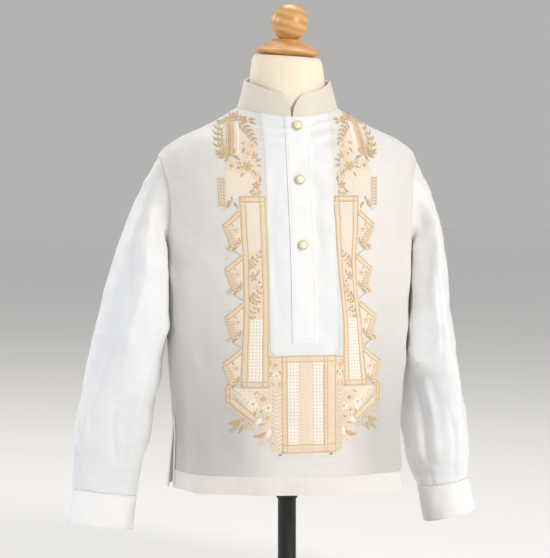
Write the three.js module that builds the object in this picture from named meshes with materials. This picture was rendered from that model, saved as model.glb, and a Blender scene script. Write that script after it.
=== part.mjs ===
// A child's barong tagalog worn by a limbless dress form on a short stand. Millimetres, +Z up.
// The front faces -Y, +X is the wearer's left, and the origin is the middle of the stand's underside.
import * as THREE from 'three';

// Driving dimensions
const clothWall = 1.2; // one ply of the sheer cloth, as a wall that can be printed or simulated
const stiffWall = 2.0; // collar and cuffs, two plies with a stiffener
const seamGap = 0.35; // between pieces that are sewn together
const layGap = 0.5; // under a piece that lies on another

const bibHalfWidth = 40;
const bibBottomZ = 302;
const bibCornerRadius = 11;
const placketHalfWidth = 14.5;
const placketBottomZ = 316;
const overlayWall = 1.0;

const collarWall = 1.8;
const collarHeight = 31.5;
const collarFrontDip = 5; // how much lower its top edge is at the front
const collarSideLean = 8.5; // how far its top edge leans in at the sides, the front and the back
const collarFrontLean = 5;
const collarBackLean = 0.5;
const collarColumns = 36;
const collarGapAt = THREE.MathUtils.degToRad(95); // the meeting ends lie just beside the centre front
const collarGapHalfAngle = THREE.MathUtils.degToRad(0.9);
const collarCornerAngle = THREE.MathUtils.degToRad(19);

const buttonHeights = [569, 506, 430];
const buttonRadius = 6;
const pearlRadius = 3.9;

const slitTopZ = 216;
const slitHalfGap = 2.2; // how far each flap's edge stands back from the side line at the hem
const backFlapFlare = 4.5;

const poleRadius = 11;
const poleFlangeRadius = 32;
const poleFlangeThick = 6;
const baseRadius = 132;
const baseThick = 10;
const baseBossRadius = 23;
const baseTopZ = 26;

const capSeatZ = 651.4; // the cap and the ball stand square to the neck's top, which is capTip off level
const capTip = 4;
const ballRadius = 22.4;
const ballMiddleZ = 691.8;
const ballSeatZ = 671.8;

// Sections of the shirt's body, from the hem up to the neck seam. Each is a closed ring: sideZ, frontZ and
// backZ are its heights at the side, the centre front and the centre back. wide is its half width, fore and
// aft its depths to the front and the back. square bends the ellipse: 2 is none, and more makes it squarer.
// tip lowers the wearer's left side, in degrees.
const bodySections = [
  { sideZ: 136, frontZ: 138.5, backZ: 136, wide: 140, fore: 104, aft: 91, square: 2.3, tip: 1 },
  { sideZ: 176, frontZ: 178, backZ: 176, wide: 138.5, fore: 103, aft: 89, square: 2.3, tip: 0.6 },
  { sideZ: 216, frontZ: 217, backZ: 216, wide: 138, fore: 101, aft: 88, square: 2.3, tip: 0.2 },
  { sideZ: 270, frontZ: 270, backZ: 270, wide: 142, fore: 99, aft: 87, square: 2.35, tip: 0 },
  { sideZ: 330, frontZ: 330, backZ: 330, wide: 145.8, fore: 96, aft: 87, square: 2.4, tip: 0 },
  { sideZ: 385, frontZ: 384, backZ: 385, wide: 149, fore: 92, aft: 87, square: 2.45, tip: 0 },
  { sideZ: 424, frontZ: 421, backZ: 423, wide: 150.5, fore: 87, aft: 87, square: 2.45, tip: 0 },
  { sideZ: 462, frontZ: 453, backZ: 458, wide: 151.5, fore: 81, aft: 86, square: 2.5, tip: 0 },
  { sideZ: 500, frontZ: 486, backZ: 495, wide: 153, fore: 74, aft: 83, square: 2.5, tip: 0 },
  { sideZ: 532, frontZ: 518, backZ: 531, wide: 155.5, fore: 67, aft: 76, square: 2.45, tip: 0 },
  { sideZ: 551, frontZ: 542, backZ: 558, wide: 136.5, fore: 61.5, aft: 68, square: 2.3, tip: 0 },
  { sideZ: 570, frontZ: 562, backZ: 580, wide: 96, fore: 57, aft: 57, square: 2.15, tip: 0 },
  { sideZ: 590, frontZ: 579.5, backZ: 601, wide: 60.5, fore: 52.5, aft: 46, square: 2, tip: 0 },
];
const slitSection = 2;
const underarmSection = 6;
const shoulderTipSection = 9;
const neckSection = 12;
const armholeFrontAngle = THREE.MathUtils.degToRad(15);
const armholeBackAngle = THREE.MathUtils.degToRad(17);

// The largest soft folds of the body. at 0 is the wearer's left side, 90 the centre front and 270 the back.
// lean is how far the fold wanders over its height, and lift is its height, or depth where it is negative.
const bodyFolds = [
  { at: 164, lean: 4, lowZ: 110, highZ: 350, spread: 9, lift: -4.0 },
  { at: 146, lean: -8, lowZ: 110, highZ: 330, spread: 10, lift: 3.5 },
  { at: 124, lean: 7, lowZ: 120, highZ: 300, spread: 8, lift: -3.0 },
  { at: 52, lean: -5, lowZ: 110, highZ: 320, spread: 9, lift: -2.6 },
  { at: 30, lean: 6, lowZ: 110, highZ: 380, spread: 8, lift: 3.2 },
  { at: 13, lean: -3, lowZ: 110, highZ: 330, spread: 7, lift: -3.6 },
  { at: 200, lean: 5, lowZ: 110, highZ: 390, spread: 9, lift: 3.4 },
  { at: 224, lean: -6, lowZ: 110, highZ: 440, spread: 9, lift: -4.2 },
  { at: 250, lean: 4, lowZ: 110, highZ: 480, spread: 9, lift: 4.4 },
  { at: 276, lean: -4, lowZ: 110, highZ: 450, spread: 8, lift: -4.4 },
  { at: 300, lean: 6, lowZ: 110, highZ: 490, spread: 9, lift: 4.2 },
  { at: 326, lean: -5, lowZ: 110, highZ: 420, spread: 9, lift: -3.6 },
];

// Sections of the two sleeves, from just under the arm down to the cuff seam, and of their cuffs. x is the
// distance of the middle from the centre line, major and minor the half sizes, turn the bearing of the major
// axis, and slope how far the outer side is tipped up. The wearer's right sleeve hangs away from the body.
// Each fold runs from its low end to its high end and fades out at both. at is its bearing at the low end.
const sleeves = {
  right: {
    side: -1,
    folds: [
      { at: 120, lean: -50, lowZ: 150, highZ: 330, spread: 24, lift: -3.2 },
      { at: 60, lean: -30, lowZ: 140, highZ: 290, spread: 22, lift: 2.4 },
      { at: 40, lean: 50, lowZ: 300, highZ: 470, spread: 26, lift: -2.2 },
      { at: 250, lean: 40, lowZ: 150, highZ: 400, spread: 26, lift: -3.2 },
    ],
    sections: [
      { z: 402, x: 181.0, y: 3, major: 52, minor: 29.8, turn: 90, slope: 4 },
      { z: 376, x: 184.4, y: 3, major: 51, minor: 34.2, turn: 90, slope: 4 },
      { z: 348, x: 187.7, y: 4, major: 49, minor: 38.5, turn: 90, slope: 5 },
      { z: 319, x: 190.3, y: 5, major: 47, minor: 42.5, turn: 88, slope: 6 },
      { z: 290, x: 195.3, y: 7, major: 45, minor: 43.7, turn: 84, slope: 7 },
      { z: 262, x: 200.6, y: 9, major: 46, minor: 43.8, turn: 60, slope: 7 },
      { z: 233, x: 205.0, y: 11, major: 47, minor: 38.0, turn: 25, slope: 8 },
      { z: 204, x: 209.8, y: 13, major: 46.2, minor: 31.0, turn: 8, slope: 8 },
      { z: 175, x: 214.5, y: 16, major: 41.4, minor: 25.0, turn: 4, slope: 8 },
      { z: 147, x: 217.8, y: 18, major: 39.6, minor: 18.0, turn: 3, slope: 8 },
      { z: 132, x: 219.1, y: 19, major: 38.4, minor: 14.5, turn: 3, slope: 8 },
    ],
    cuff: [
      { z: 131.5, x: 219.2, y: 19, major: 39.2, minor: 15.2, turn: 3, slope: 8 },
      { z: 111, x: 222.3, y: 20, major: 39.9, minor: 15.2, turn: 3, slope: 8.5 },
      { z: 90.5, x: 225.7, y: 21, major: 40.6, minor: 14.6, turn: 3, slope: 9 },
    ],
  },
  left: {
    side: 1,
    folds: [
      { at: 100, lean: 30, lowZ: 140, highZ: 400, spread: 24, lift: -3.0 },
      { at: 60, lean: 0, lowZ: 150, highZ: 350, spread: 20, lift: 2.2 },
      { at: 30, lean: 30, lowZ: 290, highZ: 450, spread: 24, lift: -2.2 },
      { at: 280, lean: -40, lowZ: 150, highZ: 390, spread: 26, lift: -3.2 },
    ],
    sections: [
      { z: 402, x: 174.2, y: 3, major: 54, minor: 21.4, turn: 90, slope: 2 },
      { z: 376, x: 175.4, y: 4, major: 55, minor: 23.2, turn: 90, slope: 2 },
      { z: 348, x: 176.9, y: 6, major: 55, minor: 24.8, turn: 90, slope: 3 },
      { z: 319, x: 178.4, y: 8, major: 54, minor: 27.1, turn: 88, slope: 3 },
      { z: 290, x: 179.8, y: 10, major: 52, minor: 29.3, turn: 84, slope: 4 },
      { z: 262, x: 181.2, y: 12, major: 50, minor: 31.3, turn: 78, slope: 5 },
      { z: 233, x: 183.9, y: 14, major: 47, minor: 32.7, turn: 68, slope: 6 },
      { z: 204, x: 187.7, y: 16, major: 44, minor: 34.0, turn: 56, slope: 7 },
      { z: 175, x: 192.0, y: 18, major: 41.5, minor: 34.5, turn: 45, slope: 8 },
      { z: 147, x: 197.0, y: 20, major: 35.0, minor: 26.5, turn: 35, slope: 10 },
      { z: 132, x: 200.1, y: 21, major: 30.6, minor: 23.2, turn: 26, slope: 11 },
    ],
    cuff: [
      { z: 131.5, x: 200.2, y: 21, major: 31.4, minor: 23.9, turn: 25, slope: 11 },
      { z: 111, x: 205.1, y: 22, major: 31.9, minor: 23.9, turn: 23, slope: 13 },
      { z: 90.5, x: 210.8, y: 23, major: 32.4, minor: 23.4, turn: 21, slope: 15 },
    ],
  },
};

// Sections of the dress form, from its flat underside to the top of its neck. The rows at the shoulders lie
// just under the cloth that they carry, and the neck's top is cut a little off level.
const formSections = [
  { sideZ: 168, frontZ: 168, backZ: 168, wide: 120, fore: 85, aft: 74, square: 2.2, tip: 0 },
  { sideZ: 230, frontZ: 230, backZ: 230, wide: 118, fore: 87, aft: 72, square: 2.2, tip: 0 },
  { sideZ: 300, frontZ: 300, backZ: 300, wide: 117, fore: 85, aft: 72, square: 2.2, tip: 0 },
  { sideZ: 370, frontZ: 370, backZ: 370, wide: 121, fore: 80, aft: 76, square: 2.25, tip: 0 },
  { sideZ: 430, frontZ: 427, backZ: 430, wide: 128, fore: 74, aft: 78, square: 2.3, tip: 0 },
  { sideZ: 480, frontZ: 472, backZ: 478, wide: 134, fore: 68, aft: 75, square: 2.3, tip: 0 },
  { sideZ: 516, frontZ: 503, backZ: 514, wide: 138.5, fore: 62, aft: 70, square: 2.3, tip: 0 },
  { sideZ: 538, frontZ: 526, backZ: 540, wide: 139.5, fore: 58, aft: 65, square: 2.25, tip: 0 },
  { sideZ: 549.3, frontZ: 541, backZ: 556.5, wide: 135.2, fore: 54.5, aft: 62, square: 2.2, tip: 0 },
  { sideZ: 568.4, frontZ: 561, backZ: 576.5, wide: 95.1, fore: 52, aft: 52, square: 2.1, tip: 0 },
  { sideZ: 584, frontZ: 576, backZ: 592, wide: 65, fore: 48, aft: 42.5, square: 2, tip: 0 },
  { sideZ: 598, frontZ: 592, backZ: 603, wide: 50, fore: 45, aft: 41, square: 2, tip: 0 },
  { sideZ: 614, frontZ: 611, backZ: 616, wide: 46, fore: 43.8, aft: 41, square: 2, tip: 0.5 },
  { sideZ: 632, frontZ: 631, backZ: 633, wide: 43.8, fore: 42.6, aft: 41, square: 2, tip: 2.5 },
  { sideZ: 646, frontZ: 646, backZ: 646, wide: 41.6, fore: 41.2, aft: 40.5, square: 2, tip: 4 },
  { sideZ: 651, frontZ: 651, backZ: 651, wide: 38.6, fore: 38.4, aft: 38, square: 2, tip: 4 },
];
const formBottomZ = formSections[0].sideZ;
const neckTopZ = formSections[formSections.length - 1].sideZ;

// How finely the walls are divided
const frontColumns = 28;
const backColumns = 20;
const hemToUnderarmSteps = 9;
const armholeSteps = 10;
const shoulderSteps = 9;
const sleeveLowerSteps = 12;
const sleeveCapSteps = 7;

const finishes = {
  cloth: new THREE.MeshStandardMaterial({ color: '#efece6', roughness: 0.55, metalness: 0 }),
  facing: new THREE.MeshStandardMaterial({ color: '#f6f5f2', roughness: 0.6, metalness: 0 }),
  formCover: new THREE.MeshStandardMaterial({ color: '#f3e6d0', roughness: 0.75, metalness: 0 }),
  wood: new THREE.MeshStandardMaterial({ color: '#d49b5c', roughness: 0.35, metalness: 0 }),
  steel: new THREE.MeshStandardMaterial({ color: '#17181a', roughness: 0.5, metalness: 0.6 }),
  gold: new THREE.MeshStandardMaterial({ color: '#d8bf77', roughness: 0.3, metalness: 0.8 }),
};

// Value of every column of a table at a place between its rows, on a smooth curve through the rows.
function between(table, place) {
  const row = Math.min(Math.max(Math.floor(place), 0), table.length - 2);
  const t = place - row;
  const near = [row - 1, row, row + 1, row + 2].map((i) => table[Math.min(Math.max(i, 0), table.length - 1)]);
  const value = {};
  for (const key of Object.keys(table[0])) {
    const [a, b, c, d] = near.map((r) => r[key]);
    value[key] = b + 0.5 * t * (c - a + t * (2 * a - 5 * b + 4 * c - d + t * (3 * (b - c) + d - a)));
  }
  return value;
}

const signedPower = (value, power) => Math.sign(value) * Math.abs(value) ** power;
const bell = (distance) => Math.exp(-distance * distance);
const tanOf = (degrees) => Math.tan(THREE.MathUtils.degToRad(degrees));
const smooth = (t) => t * t * (3 - 2 * t);
const steps = (count) => Array.from({ length: count + 1 }, (_, i) => i / count);
const clamp01 = (t) => Math.min(Math.max(t, 0), 1);

// Point of a ring at an angle: 0 is the wearer's left side, 90 degrees the front and 270 the back.
function ringPoint(table, angle, place) {
  const ring = between(table, place);
  const across = Math.cos(angle);
  const forward = Math.sin(angle);
  const depth = forward > 0 ? ring.fore : ring.aft;
  const middleZ = forward > 0 ? ring.frontZ : ring.backZ;
  return new THREE.Vector3(
    ring.wide * signedPower(across, 2 / ring.square),
    -depth * signedPower(forward, 2 / ring.square),
    ring.sideZ + (middleZ - ring.sideZ) * forward * forward - ring.wide * across * tanOf(ring.tip),
  );
}

// Outward normal of a surface that is given as a function of two parameters.
function normalOf(surface, u, v, stepU = 0.01, stepV = 0.02) {
  const alongU = surface(u + stepU, v).sub(surface(u - stepU, v));
  const alongV = surface(u, v + stepV).sub(surface(u, v - stepV));
  return alongV.cross(alongU).normalize();
}

const angleBetween = (one, other) => ((((one - other) % 360) + 540) % 360) - 180;

function foldLift(angle, z) {
  const degrees = THREE.MathUtils.radToDeg(angle);
  let lift = 0;
  for (const fold of bodyFolds) {
    const height = clamp01((z - fold.lowZ) / (fold.highZ - fold.lowZ));
    const away = angleBetween(degrees, fold.at + fold.lean * height);
    lift += fold.lift * bell(away / fold.spread) * smooth(1 - height);
  }
  return lift;
}

// The body of the shirt: the point on its outer side, moved in by a depth, or out where that is negative.
// Below the slits the edges of the back flap stand out a little.
function bodyPoint(angle, place, depth = 0) {
  const plain = (a, v) => ringPoint(bodySections, a, v);
  const point = plain(angle, place);
  const normal = normalOf(plain, angle, place);
  const belowSlit = clamp01((slitTopZ - point.z) / (slitTopZ - bodySections[0].sideZ));
  const fromEdge = Math.PI / 2 - Math.abs(angle - 1.5 * Math.PI);
  const flare = angle > Math.PI ? backFlapFlare * belowSlit * bell(fromEdge * 5) : 0;
  return point.addScaledVector(normal, foldLift(angle, point.z) + flare - depth);
}

// A closed wall from two grids of points of the same size. A ring of columns closes on itself.
function wallGeometry(outer, inner, ring) {
  const rows = outer.length;
  const columns = outer[0].length;
  const points = [...outer.flat(), ...inner.flat()];
  const at = (layer, i, j) => layer * rows * columns + i * columns + (j % columns);
  const faces = [];
  const quad = (a, b, c, d) => faces.push(a, b, c, a, c, d);
  const spans = ring ? columns : columns - 1;
  for (let i = 0; i < rows - 1; i++) {
    for (let j = 0; j < spans; j++) {
      quad(at(0, i, j), at(0, i, j + 1), at(0, i + 1, j + 1), at(0, i + 1, j));
      quad(at(1, i, j), at(1, i + 1, j), at(1, i + 1, j + 1), at(1, i, j + 1));
    }
  }
  for (let j = 0; j < spans; j++) {
    quad(at(1, 0, j), at(1, 0, j + 1), at(0, 0, j + 1), at(0, 0, j));
    quad(at(0, rows - 1, j), at(0, rows - 1, j + 1), at(1, rows - 1, j + 1), at(1, rows - 1, j));
  }
  for (let i = 0; i < rows - 1 && !ring; i++) {
    quad(at(0, i, 0), at(0, i + 1, 0), at(1, i + 1, 0), at(1, i, 0));
    quad(at(1, i, columns - 1), at(1, i + 1, columns - 1), at(0, i + 1, columns - 1), at(0, i, columns - 1));
  }
  return closedGeometry(points, faces);
}

// A closed solid through rings of points. Each end is closed by a fan to a point, the middle unless given.
function loftGeometry(rings, lowEnd, highEnd) {
  const columns = rings[0].length;
  const middle = (ring) => ring.reduce((sum, p) => sum.add(p), new THREE.Vector3()).divideScalar(columns);
  const points = [...rings.flat(), lowEnd ?? middle(rings[0]), highEnd ?? middle(rings[rings.length - 1])];
  const faces = [];
  for (let i = 0; i < rings.length - 1; i++) {
    for (let j = 0; j < columns; j++) {
      const [a, b] = [i * columns + j, i * columns + ((j + 1) % columns)];
      faces.push(a, b, b + columns, a, b + columns, a + columns);
    }
  }
  const top = (rings.length - 1) * columns;
  for (let j = 0; j < columns; j++) {
    faces.push(points.length - 2, (j + 1) % columns, j);
    faces.push(points.length - 1, top + j, top + ((j + 1) % columns));
  }
  return closedGeometry(points, faces);
}

// A closed solid turned about the vertical axis, from pairs of radius and height.
function turnedGeometry(profile, segments, lowEnd, highEnd) {
  const circle = steps(segments).slice(0, -1).map((t) => 2 * Math.PI * t);
  const onCircle = (r, z) => circle.map((a) => new THREE.Vector3(r * Math.cos(a), r * Math.sin(a), z));
  const rings = profile.map(([r, z]) => onCircle(r, z));
  return loftGeometry(rings, lowEnd, highEnd);
}

// Turns every face round where the points were listed the other way, so that the faces point out.
function closedGeometry(points, faces) {
  let volume = 0;
  for (let i = 0; i < faces.length; i += 3) {
    const [a, b, c] = [points[faces[i]], points[faces[i + 1]], points[faces[i + 2]]];
    volume += a.dot(b.clone().cross(c));
  }
  const turned = volume < 0 ? faces.slice().reverse() : faces;
  const geometry = new THREE.BufferGeometry();
  geometry.setAttribute('position', new THREE.Float32BufferAttribute(points.flatMap((p) => p.toArray()), 3));
  geometry.setIndex(turned);
  geometry.computeVertexNormals();
  return geometry;
}

function piece(name, geometry, finish) {
  const mesh = new THREE.Mesh(geometry, finish.clone());
  mesh.name = name;
  return mesh;
}

// Rows of a panel: the place among the sections, and how far the armhole cuts in, from 0 to 1.
function panelRows() {
  const rows = steps(hemToUnderarmSteps).map((t) => ({ place: underarmSection * t, cut: 0 }));
  const armholeRise = shoulderTipSection - underarmSection;
  for (const t of steps(armholeSteps).slice(1)) {
    const place = underarmSection + (armholeRise * (1 - Math.cos(Math.PI * t))) / 2;
    rows.push({ place, cut: Math.sin(Math.PI * t) });
  }
  for (const t of steps(shoulderSteps).slice(1)) {
    rows.push({ place: shoulderTipSection + (neckSection - shoulderTipSection) * t, cut: 0 });
  }
  return rows;
}

// Angle by which a panel's edge stands back from the side line: half the seam's gap, the slit, the armhole.
function edgeAngle(row, armholeAngle) {
  const ring = between(bodySections, row.place);
  const standBack = seamGap / 2 + slitHalfGap * clamp01(1 - row.place / slitSection);
  return armholeAngle * row.cut + Math.asin((standBack / ring.aft) ** (ring.square / 2));
}

function panelGeometry(columns, startAngle, armholeAngle) {
  const grid = (depth) => panelRows().map((row) => {
    const edge = edgeAngle(row, armholeAngle);
    const angleAt = (t) => startAngle + edge + (Math.PI - 2 * edge) * t;
    return steps(columns).map((t) => bodyPoint(angleAt(t), row.place, depth));
  });
  return wallGeometry(grid(0), grid(clothWall), false);
}

// The armhole's edge on one side of the body, all round from the shoulder tip by the front: the points of the
// panels' outer and inner sides, and the direction that lies in the cloth and leads into the hole.
function armholeEdge(side) {
  const rows = panelRows().slice(hemToUnderarmSteps, hemToUnderarmSteps + armholeSteps + 1);
  const middlePlace = (underarmSection + shoulderTipSection) / 2;
  const onSide = (angle) => (side > 0 ? angle : Math.PI - angle);
  const hole = bodyPoint(onSide(0), middlePlace);
  return Array.from({ length: 2 * armholeSteps }, (_, m) => {
    const isFront = m <= armholeSteps;
    const row = isFront ? rows[armholeSteps - m] : rows[m - armholeSteps];
    const angle = isFront ? edgeAngle(row, armholeFrontAngle) : -edgeAngle(row, armholeBackAngle);
    const isSideLine = m === 0 || m === armholeSteps;
    const turned = (onSide(isSideLine ? 0 : angle) + 2 * Math.PI) % (2 * Math.PI);
    const at = (depth) => bodyPoint(turned, row.place, depth);
    const [outer, inner] = [at(0), at(clothWall)];
    const normal = outer.clone().sub(inner).normalize();
    const inward = hole.clone().sub(outer).projectOnPlane(normal).normalize();
    return { outer, inner, inward };
  });
}

// Point of a sleeve's or a cuff's section: bearing 0 is away from the body and 90 degrees to the front.
function sleevePoint(table, side, bearing, place, depth = 0) {
  const ring = between(table, place);
  const turn = THREE.MathUtils.degToRad(ring.turn);
  const major = (ring.major - depth) * Math.cos(bearing - turn);
  const minor = (ring.minor - depth) * Math.sin(bearing - turn);
  const outward = major * Math.cos(turn) - minor * Math.sin(turn);
  const forward = major * Math.sin(turn) + minor * Math.cos(turn);
  const rise = outward * tanOf(ring.slope);
  return new THREE.Vector3(side * (ring.x + outward), ring.y - forward, ring.z + rise);
}

// A point of a sleeve's outer side, with its folds.
function sleeveSkin({ side, sections, folds }, bearing, place) {
  const { z } = between(sections, place);
  let lift = 0;
  for (const fold of folds) {
    const height = clamp01((z - fold.lowZ) / (fold.highZ - fold.lowZ));
    const away = angleBetween(THREE.MathUtils.radToDeg(bearing), fold.at + fold.lean * height);
    lift += fold.lift * bell(away / fold.spread) * Math.sin(Math.PI * height) ** 2;
  }
  return sleevePoint(sections, side, bearing, place, -lift);
}

const sleeveBearings = Array.from({ length: 2 * armholeSteps }, (_, m) => (Math.PI * m) / armholeSteps);

// The outer side of a sleeve: a cap that leaves the armhole in the line of the cloth, then the sections.
function sleeveOuterRows(sleeve) {
  const { side, sections } = sleeve;
  const last = sections.length - 1;
  const edge = armholeEdge(side);
  const away = new THREE.Vector3(side, 0, 0);
  const down = new THREE.Vector3(0, 0, -1);
  const cap = steps(sleeveCapSteps).slice(0, -1).map((t) => sleeveBearings.map((bearing, m) => {
    const start = edge[m].outer.clone().addScaledVector(edge[m].inward, seamGap);
    const end = sleeveSkin(sleeve, bearing, 0);
    const beyond = sleeveSkin(sleeve, bearing, 0.2);
    const across = Math.sin(bearing) ** 2;
    const under = (1 - Math.cos(bearing)) / 2;
    const leave = edge[m].inward.clone().multiplyScalar(1 - 0.75 * across)
      .addScaledVector(away, 0.3 + 0.6 * across + 0.3 * under)
      .addScaledVector(down, 0.5 * across)
      .normalize();
    const reach = 0.36 * start.distanceTo(end);
    const curve = new THREE.CubicBezierCurve3(
      start,
      start.clone().addScaledVector(leave, reach),
      end.clone().addScaledVector(beyond.sub(end).normalize(), -reach),
      end,
    );
    return curve.getPoint(t);
  }));
  const ringAt = (place) => sleeveBearings.map((bearing) => sleeveSkin(sleeve, bearing, place));
  return [...cap, ...steps(sleeveLowerSteps).map((t) => ringAt(last * t))];
}

// The inner side lies one wall inside the outer side, and starts beside the armhole's inner edge.
function sleeveGeometry(sleeve) {
  const outer = sleeveOuterRows(sleeve);
  const edge = armholeEdge(sleeve.side);
  const columns = outer[0].length;
  const inner = outer.map((row, i) => row.map((point, j) => {
    if (i === 0) return edge[j].inner.clone().addScaledVector(edge[j].inward, seamGap);
    const along = outer[Math.min(i + 1, outer.length - 1)][j].clone().sub(outer[i - 1][j]);
    const round = row[(j + 1) % columns].clone().sub(row[(j + columns - 1) % columns]);
    return point.clone().addScaledVector(round.cross(along).normalize(), -clothWall * sleeve.side);
  }));
  return wallGeometry(outer, inner, true);
}

function cuffGeometry({ side, cuff }) {
  const ringAt = (place, depth) => sleeveBearings.map((b) => sleevePoint(cuff, side, b, place, depth));
  const grid = (depth) => steps(4).map((t) => ringAt(2 * t, depth));
  return wallGeometry(grid(0), grid(stiffWall), true);
}

// The collar stands on the neck seam. Its ends meet beside the centre front and have rounded top corners.
function collarGeometry() {
  const base = bodySections[neckSection];
  const rowHeights = steps(6).map((t) => Math.sin((Math.PI / 2) * t));
  const grid = (depth) => rowHeights.map((t) => {
    const corner = collarCornerAngle * (1 - Math.sqrt(1 - t * t));
    const gap = collarGapHalfAngle + corner;
    return steps(collarColumns).map((s) => {
      const angle = collarGapAt + gap + (2 * Math.PI - 2 * gap) * s;
      const forward = Math.sin(angle);
      const baseDepth = forward > 0 ? base.fore : base.aft;
      const middleZ = forward > 0 ? base.frontZ : base.backZ;
      const lean = forward > 0 ? collarFrontLean : collarBackLean;
      const height = collarHeight - collarFrontDip * Math.max(forward, 0) ** 2;
      return new THREE.Vector3(
        (base.wide - collarSideLean * t - depth) * Math.cos(angle),
        -(baseDepth - lean * t - depth) * forward,
        base.sideZ + (middleZ - base.sideZ) * forward * forward + seamGap + height * t,
      );
    });
  });
  return wallGeometry(grid(0), grid(collarWall), false);
}

// Place among the body's sections where the front's middle line is at a height.
function frontPlaceAt(z) {
  let [low, high] = [0, neckSection];
  for (let i = 0; i < 40; i++) {
    const middle = (low + high) / 2;
    if (between(bodySections, middle).frontZ < z) low = middle;
    else high = middle;
  }
  return low;
}

// A point of the front at a distance from the centre line, moved out by a lift.
function frontPoint(x, place, lift) {
  const ring = between(bodySections, place);
  return bodyPoint(Math.acos(signedPower(x / ring.wide, ring.square / 2)), place, -lift);
}

// A strip or panel that lies on the front, from a rounded lower end up to the neck seam. Above its corners it
// has the front's own rows, so that it follows the cloth under it.
function overlayGeometry(halfWidth, bottomZ, cornerRadius, lift, columns) {
  const corner = steps(3).map((t) => cornerRadius * (1 - Math.cos((Math.PI / 2) * t)));
  const rows = corner.map((rise) => ({ rise, place: frontPlaceAt(bottomZ + rise) }));
  const above = rows[rows.length - 1].place + 0.1;
  for (const { place } of panelRows()) {
    if (place > above) rows.push({ rise: cornerRadius, place });
  }
  const grid = (out) => rows.map(({ rise, place }) => {
    const cut = cornerRadius - Math.sqrt(Math.max(cornerRadius ** 2 - (cornerRadius - rise) ** 2, 0));
    return steps(columns).map((t) => frontPoint((halfWidth - cut) * (2 * t - 1), place, out));
  });
  return wallGeometry(grid(lift + overlayWall), grid(lift), false);
}

// A domed pearl in a gold rim, on a short shank.
function buttonGeometry(z) {
  const profile = [
    [1.8, 0], [1.8, 0.7], [5.1, 0.8], [buttonRadius, 1.4], [buttonRadius, 2.0], [5.2, 2.6], [4.3, 2.5],
    [pearlRadius, 2.9], [3.3, 3.9], [2.2, 4.7], [1.0, 5.1],
  ];
  const geometry = turnedGeometry(profile, 14, undefined, new THREE.Vector3(0, 0, 5.2));
  const place = frontPlaceAt(z);
  const seat = frontPoint(0, place, 2 * (layGap + overlayWall) + layGap);
  const facing = seat.clone().sub(frontPoint(0, place, 0)).normalize();
  geometry.applyQuaternion(new THREE.Quaternion().setFromUnitVectors(new THREE.Vector3(0, 0, 1), facing));
  return geometry.translate(seat.x, seat.y, seat.z);
}

function formGeometry() {
  const last = formSections.length - 1;
  const circle = steps(32).slice(0, -1).map((t) => 2 * Math.PI * t);
  const ringAt = (place) => circle.map((angle) => ringPoint(formSections, angle, place));
  return loftGeometry(steps(2 * last).map((t) => ringAt(last * t)));
}

// The turned wooden cap: dished under its thin rim, and a low cone with a flat top that carries the ball.
const capProfile = [
  [28, 0], [33.5, 1.5], [37.8, 3.5], [40.1, 5], [40.5, 5.7], [40.1, 6.5], [37.4, 8.1], [28.4, 13.6],
  [21, 18], [19.3, 19.6], [18.3, 20],
].map(([r, z]) => [r, z + capSeatZ]);

function ballGeometry() {
  const lowest = Math.asin((ballSeatZ - ballMiddleZ) / ballRadius);
  const profile = steps(12).slice(0, -1).map((t) => {
    const latitude = lowest + (Math.PI / 2 - lowest) * t;
    return [ballRadius * Math.cos(latitude), ballMiddleZ + ballRadius * Math.sin(latitude)];
  });
  return turnedGeometry(profile, 28, undefined, new THREE.Vector3(0, 0, ballMiddleZ + ballRadius));
}

// Turned over with the neck's top, about the middle of it.
function tipped(geometry) {
  const turn = new THREE.Matrix4().makeRotationY(THREE.MathUtils.degToRad(capTip));
  return geometry.translate(0, 0, -neckTopZ).applyMatrix4(turn).translate(0, 0, neckTopZ);
}

const poleTopZ = formBottomZ - layGap;
const poleProfile = [
  [poleRadius, baseTopZ + layGap], [poleRadius, poleTopZ - poleFlangeThick - 8],
  [poleRadius + 5, poleTopZ - poleFlangeThick], [poleFlangeRadius, poleTopZ - poleFlangeThick],
  [poleFlangeRadius, poleTopZ],
];
const baseProfile = [
  [baseRadius - 2, 0], [baseRadius, 2], [baseRadius, baseThick - 3], [baseRadius - 3, baseThick],
  [baseBossRadius + 6, baseThick + 4], [baseBossRadius, baseThick + 7], [baseBossRadius, baseTopZ - 2],
  [baseBossRadius - 2, baseTopZ],
];

const group = new THREE.Group();
group.name = 'barong_on_dress_form';
group.add(
  piece('front', panelGeometry(frontColumns, 0, armholeFrontAngle), finishes.cloth),
  piece('back', panelGeometry(backColumns, Math.PI, armholeBackAngle), finishes.cloth),
  piece('sleeve_right', sleeveGeometry(sleeves.right), finishes.cloth),
  piece('sleeve_left', sleeveGeometry(sleeves.left), finishes.cloth),
  piece('cuff_right', cuffGeometry(sleeves.right), finishes.facing),
  piece('cuff_left', cuffGeometry(sleeves.left), finishes.facing),
  piece('collar', collarGeometry(), finishes.facing),
  piece('bib', overlayGeometry(bibHalfWidth, bibBottomZ, bibCornerRadius, layGap, 10), finishes.facing),
  piece(
    'placket',
    overlayGeometry(placketHalfWidth, placketBottomZ, 1, 2 * layGap + overlayWall, 4),
    finishes.facing,
  ),
  ...buttonHeights.map((z, i) => piece(`button_${i + 1}`, buttonGeometry(z), finishes.gold)),
  piece('form_body', formGeometry(), finishes.formCover),
  piece('neck_cap', tipped(turnedGeometry(capProfile, 32)), finishes.wood),
  piece('finial_ball', tipped(ballGeometry()), finishes.wood),
  piece('stand_pole', turnedGeometry(poleProfile, 24), finishes.steel),
  piece('stand_base', turnedGeometry(baseProfile, 48), finishes.steel),
);

export default group;
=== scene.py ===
"""Looks of a child's barong tagalog on a limbless dress form, for Blender 4.5. Metres, +Z up, front at -Y."""

import math
import random

import bpy
import numpy as np
from mathutils import Matrix, Vector
from mathutils.bvhtree import BVHTree


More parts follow.
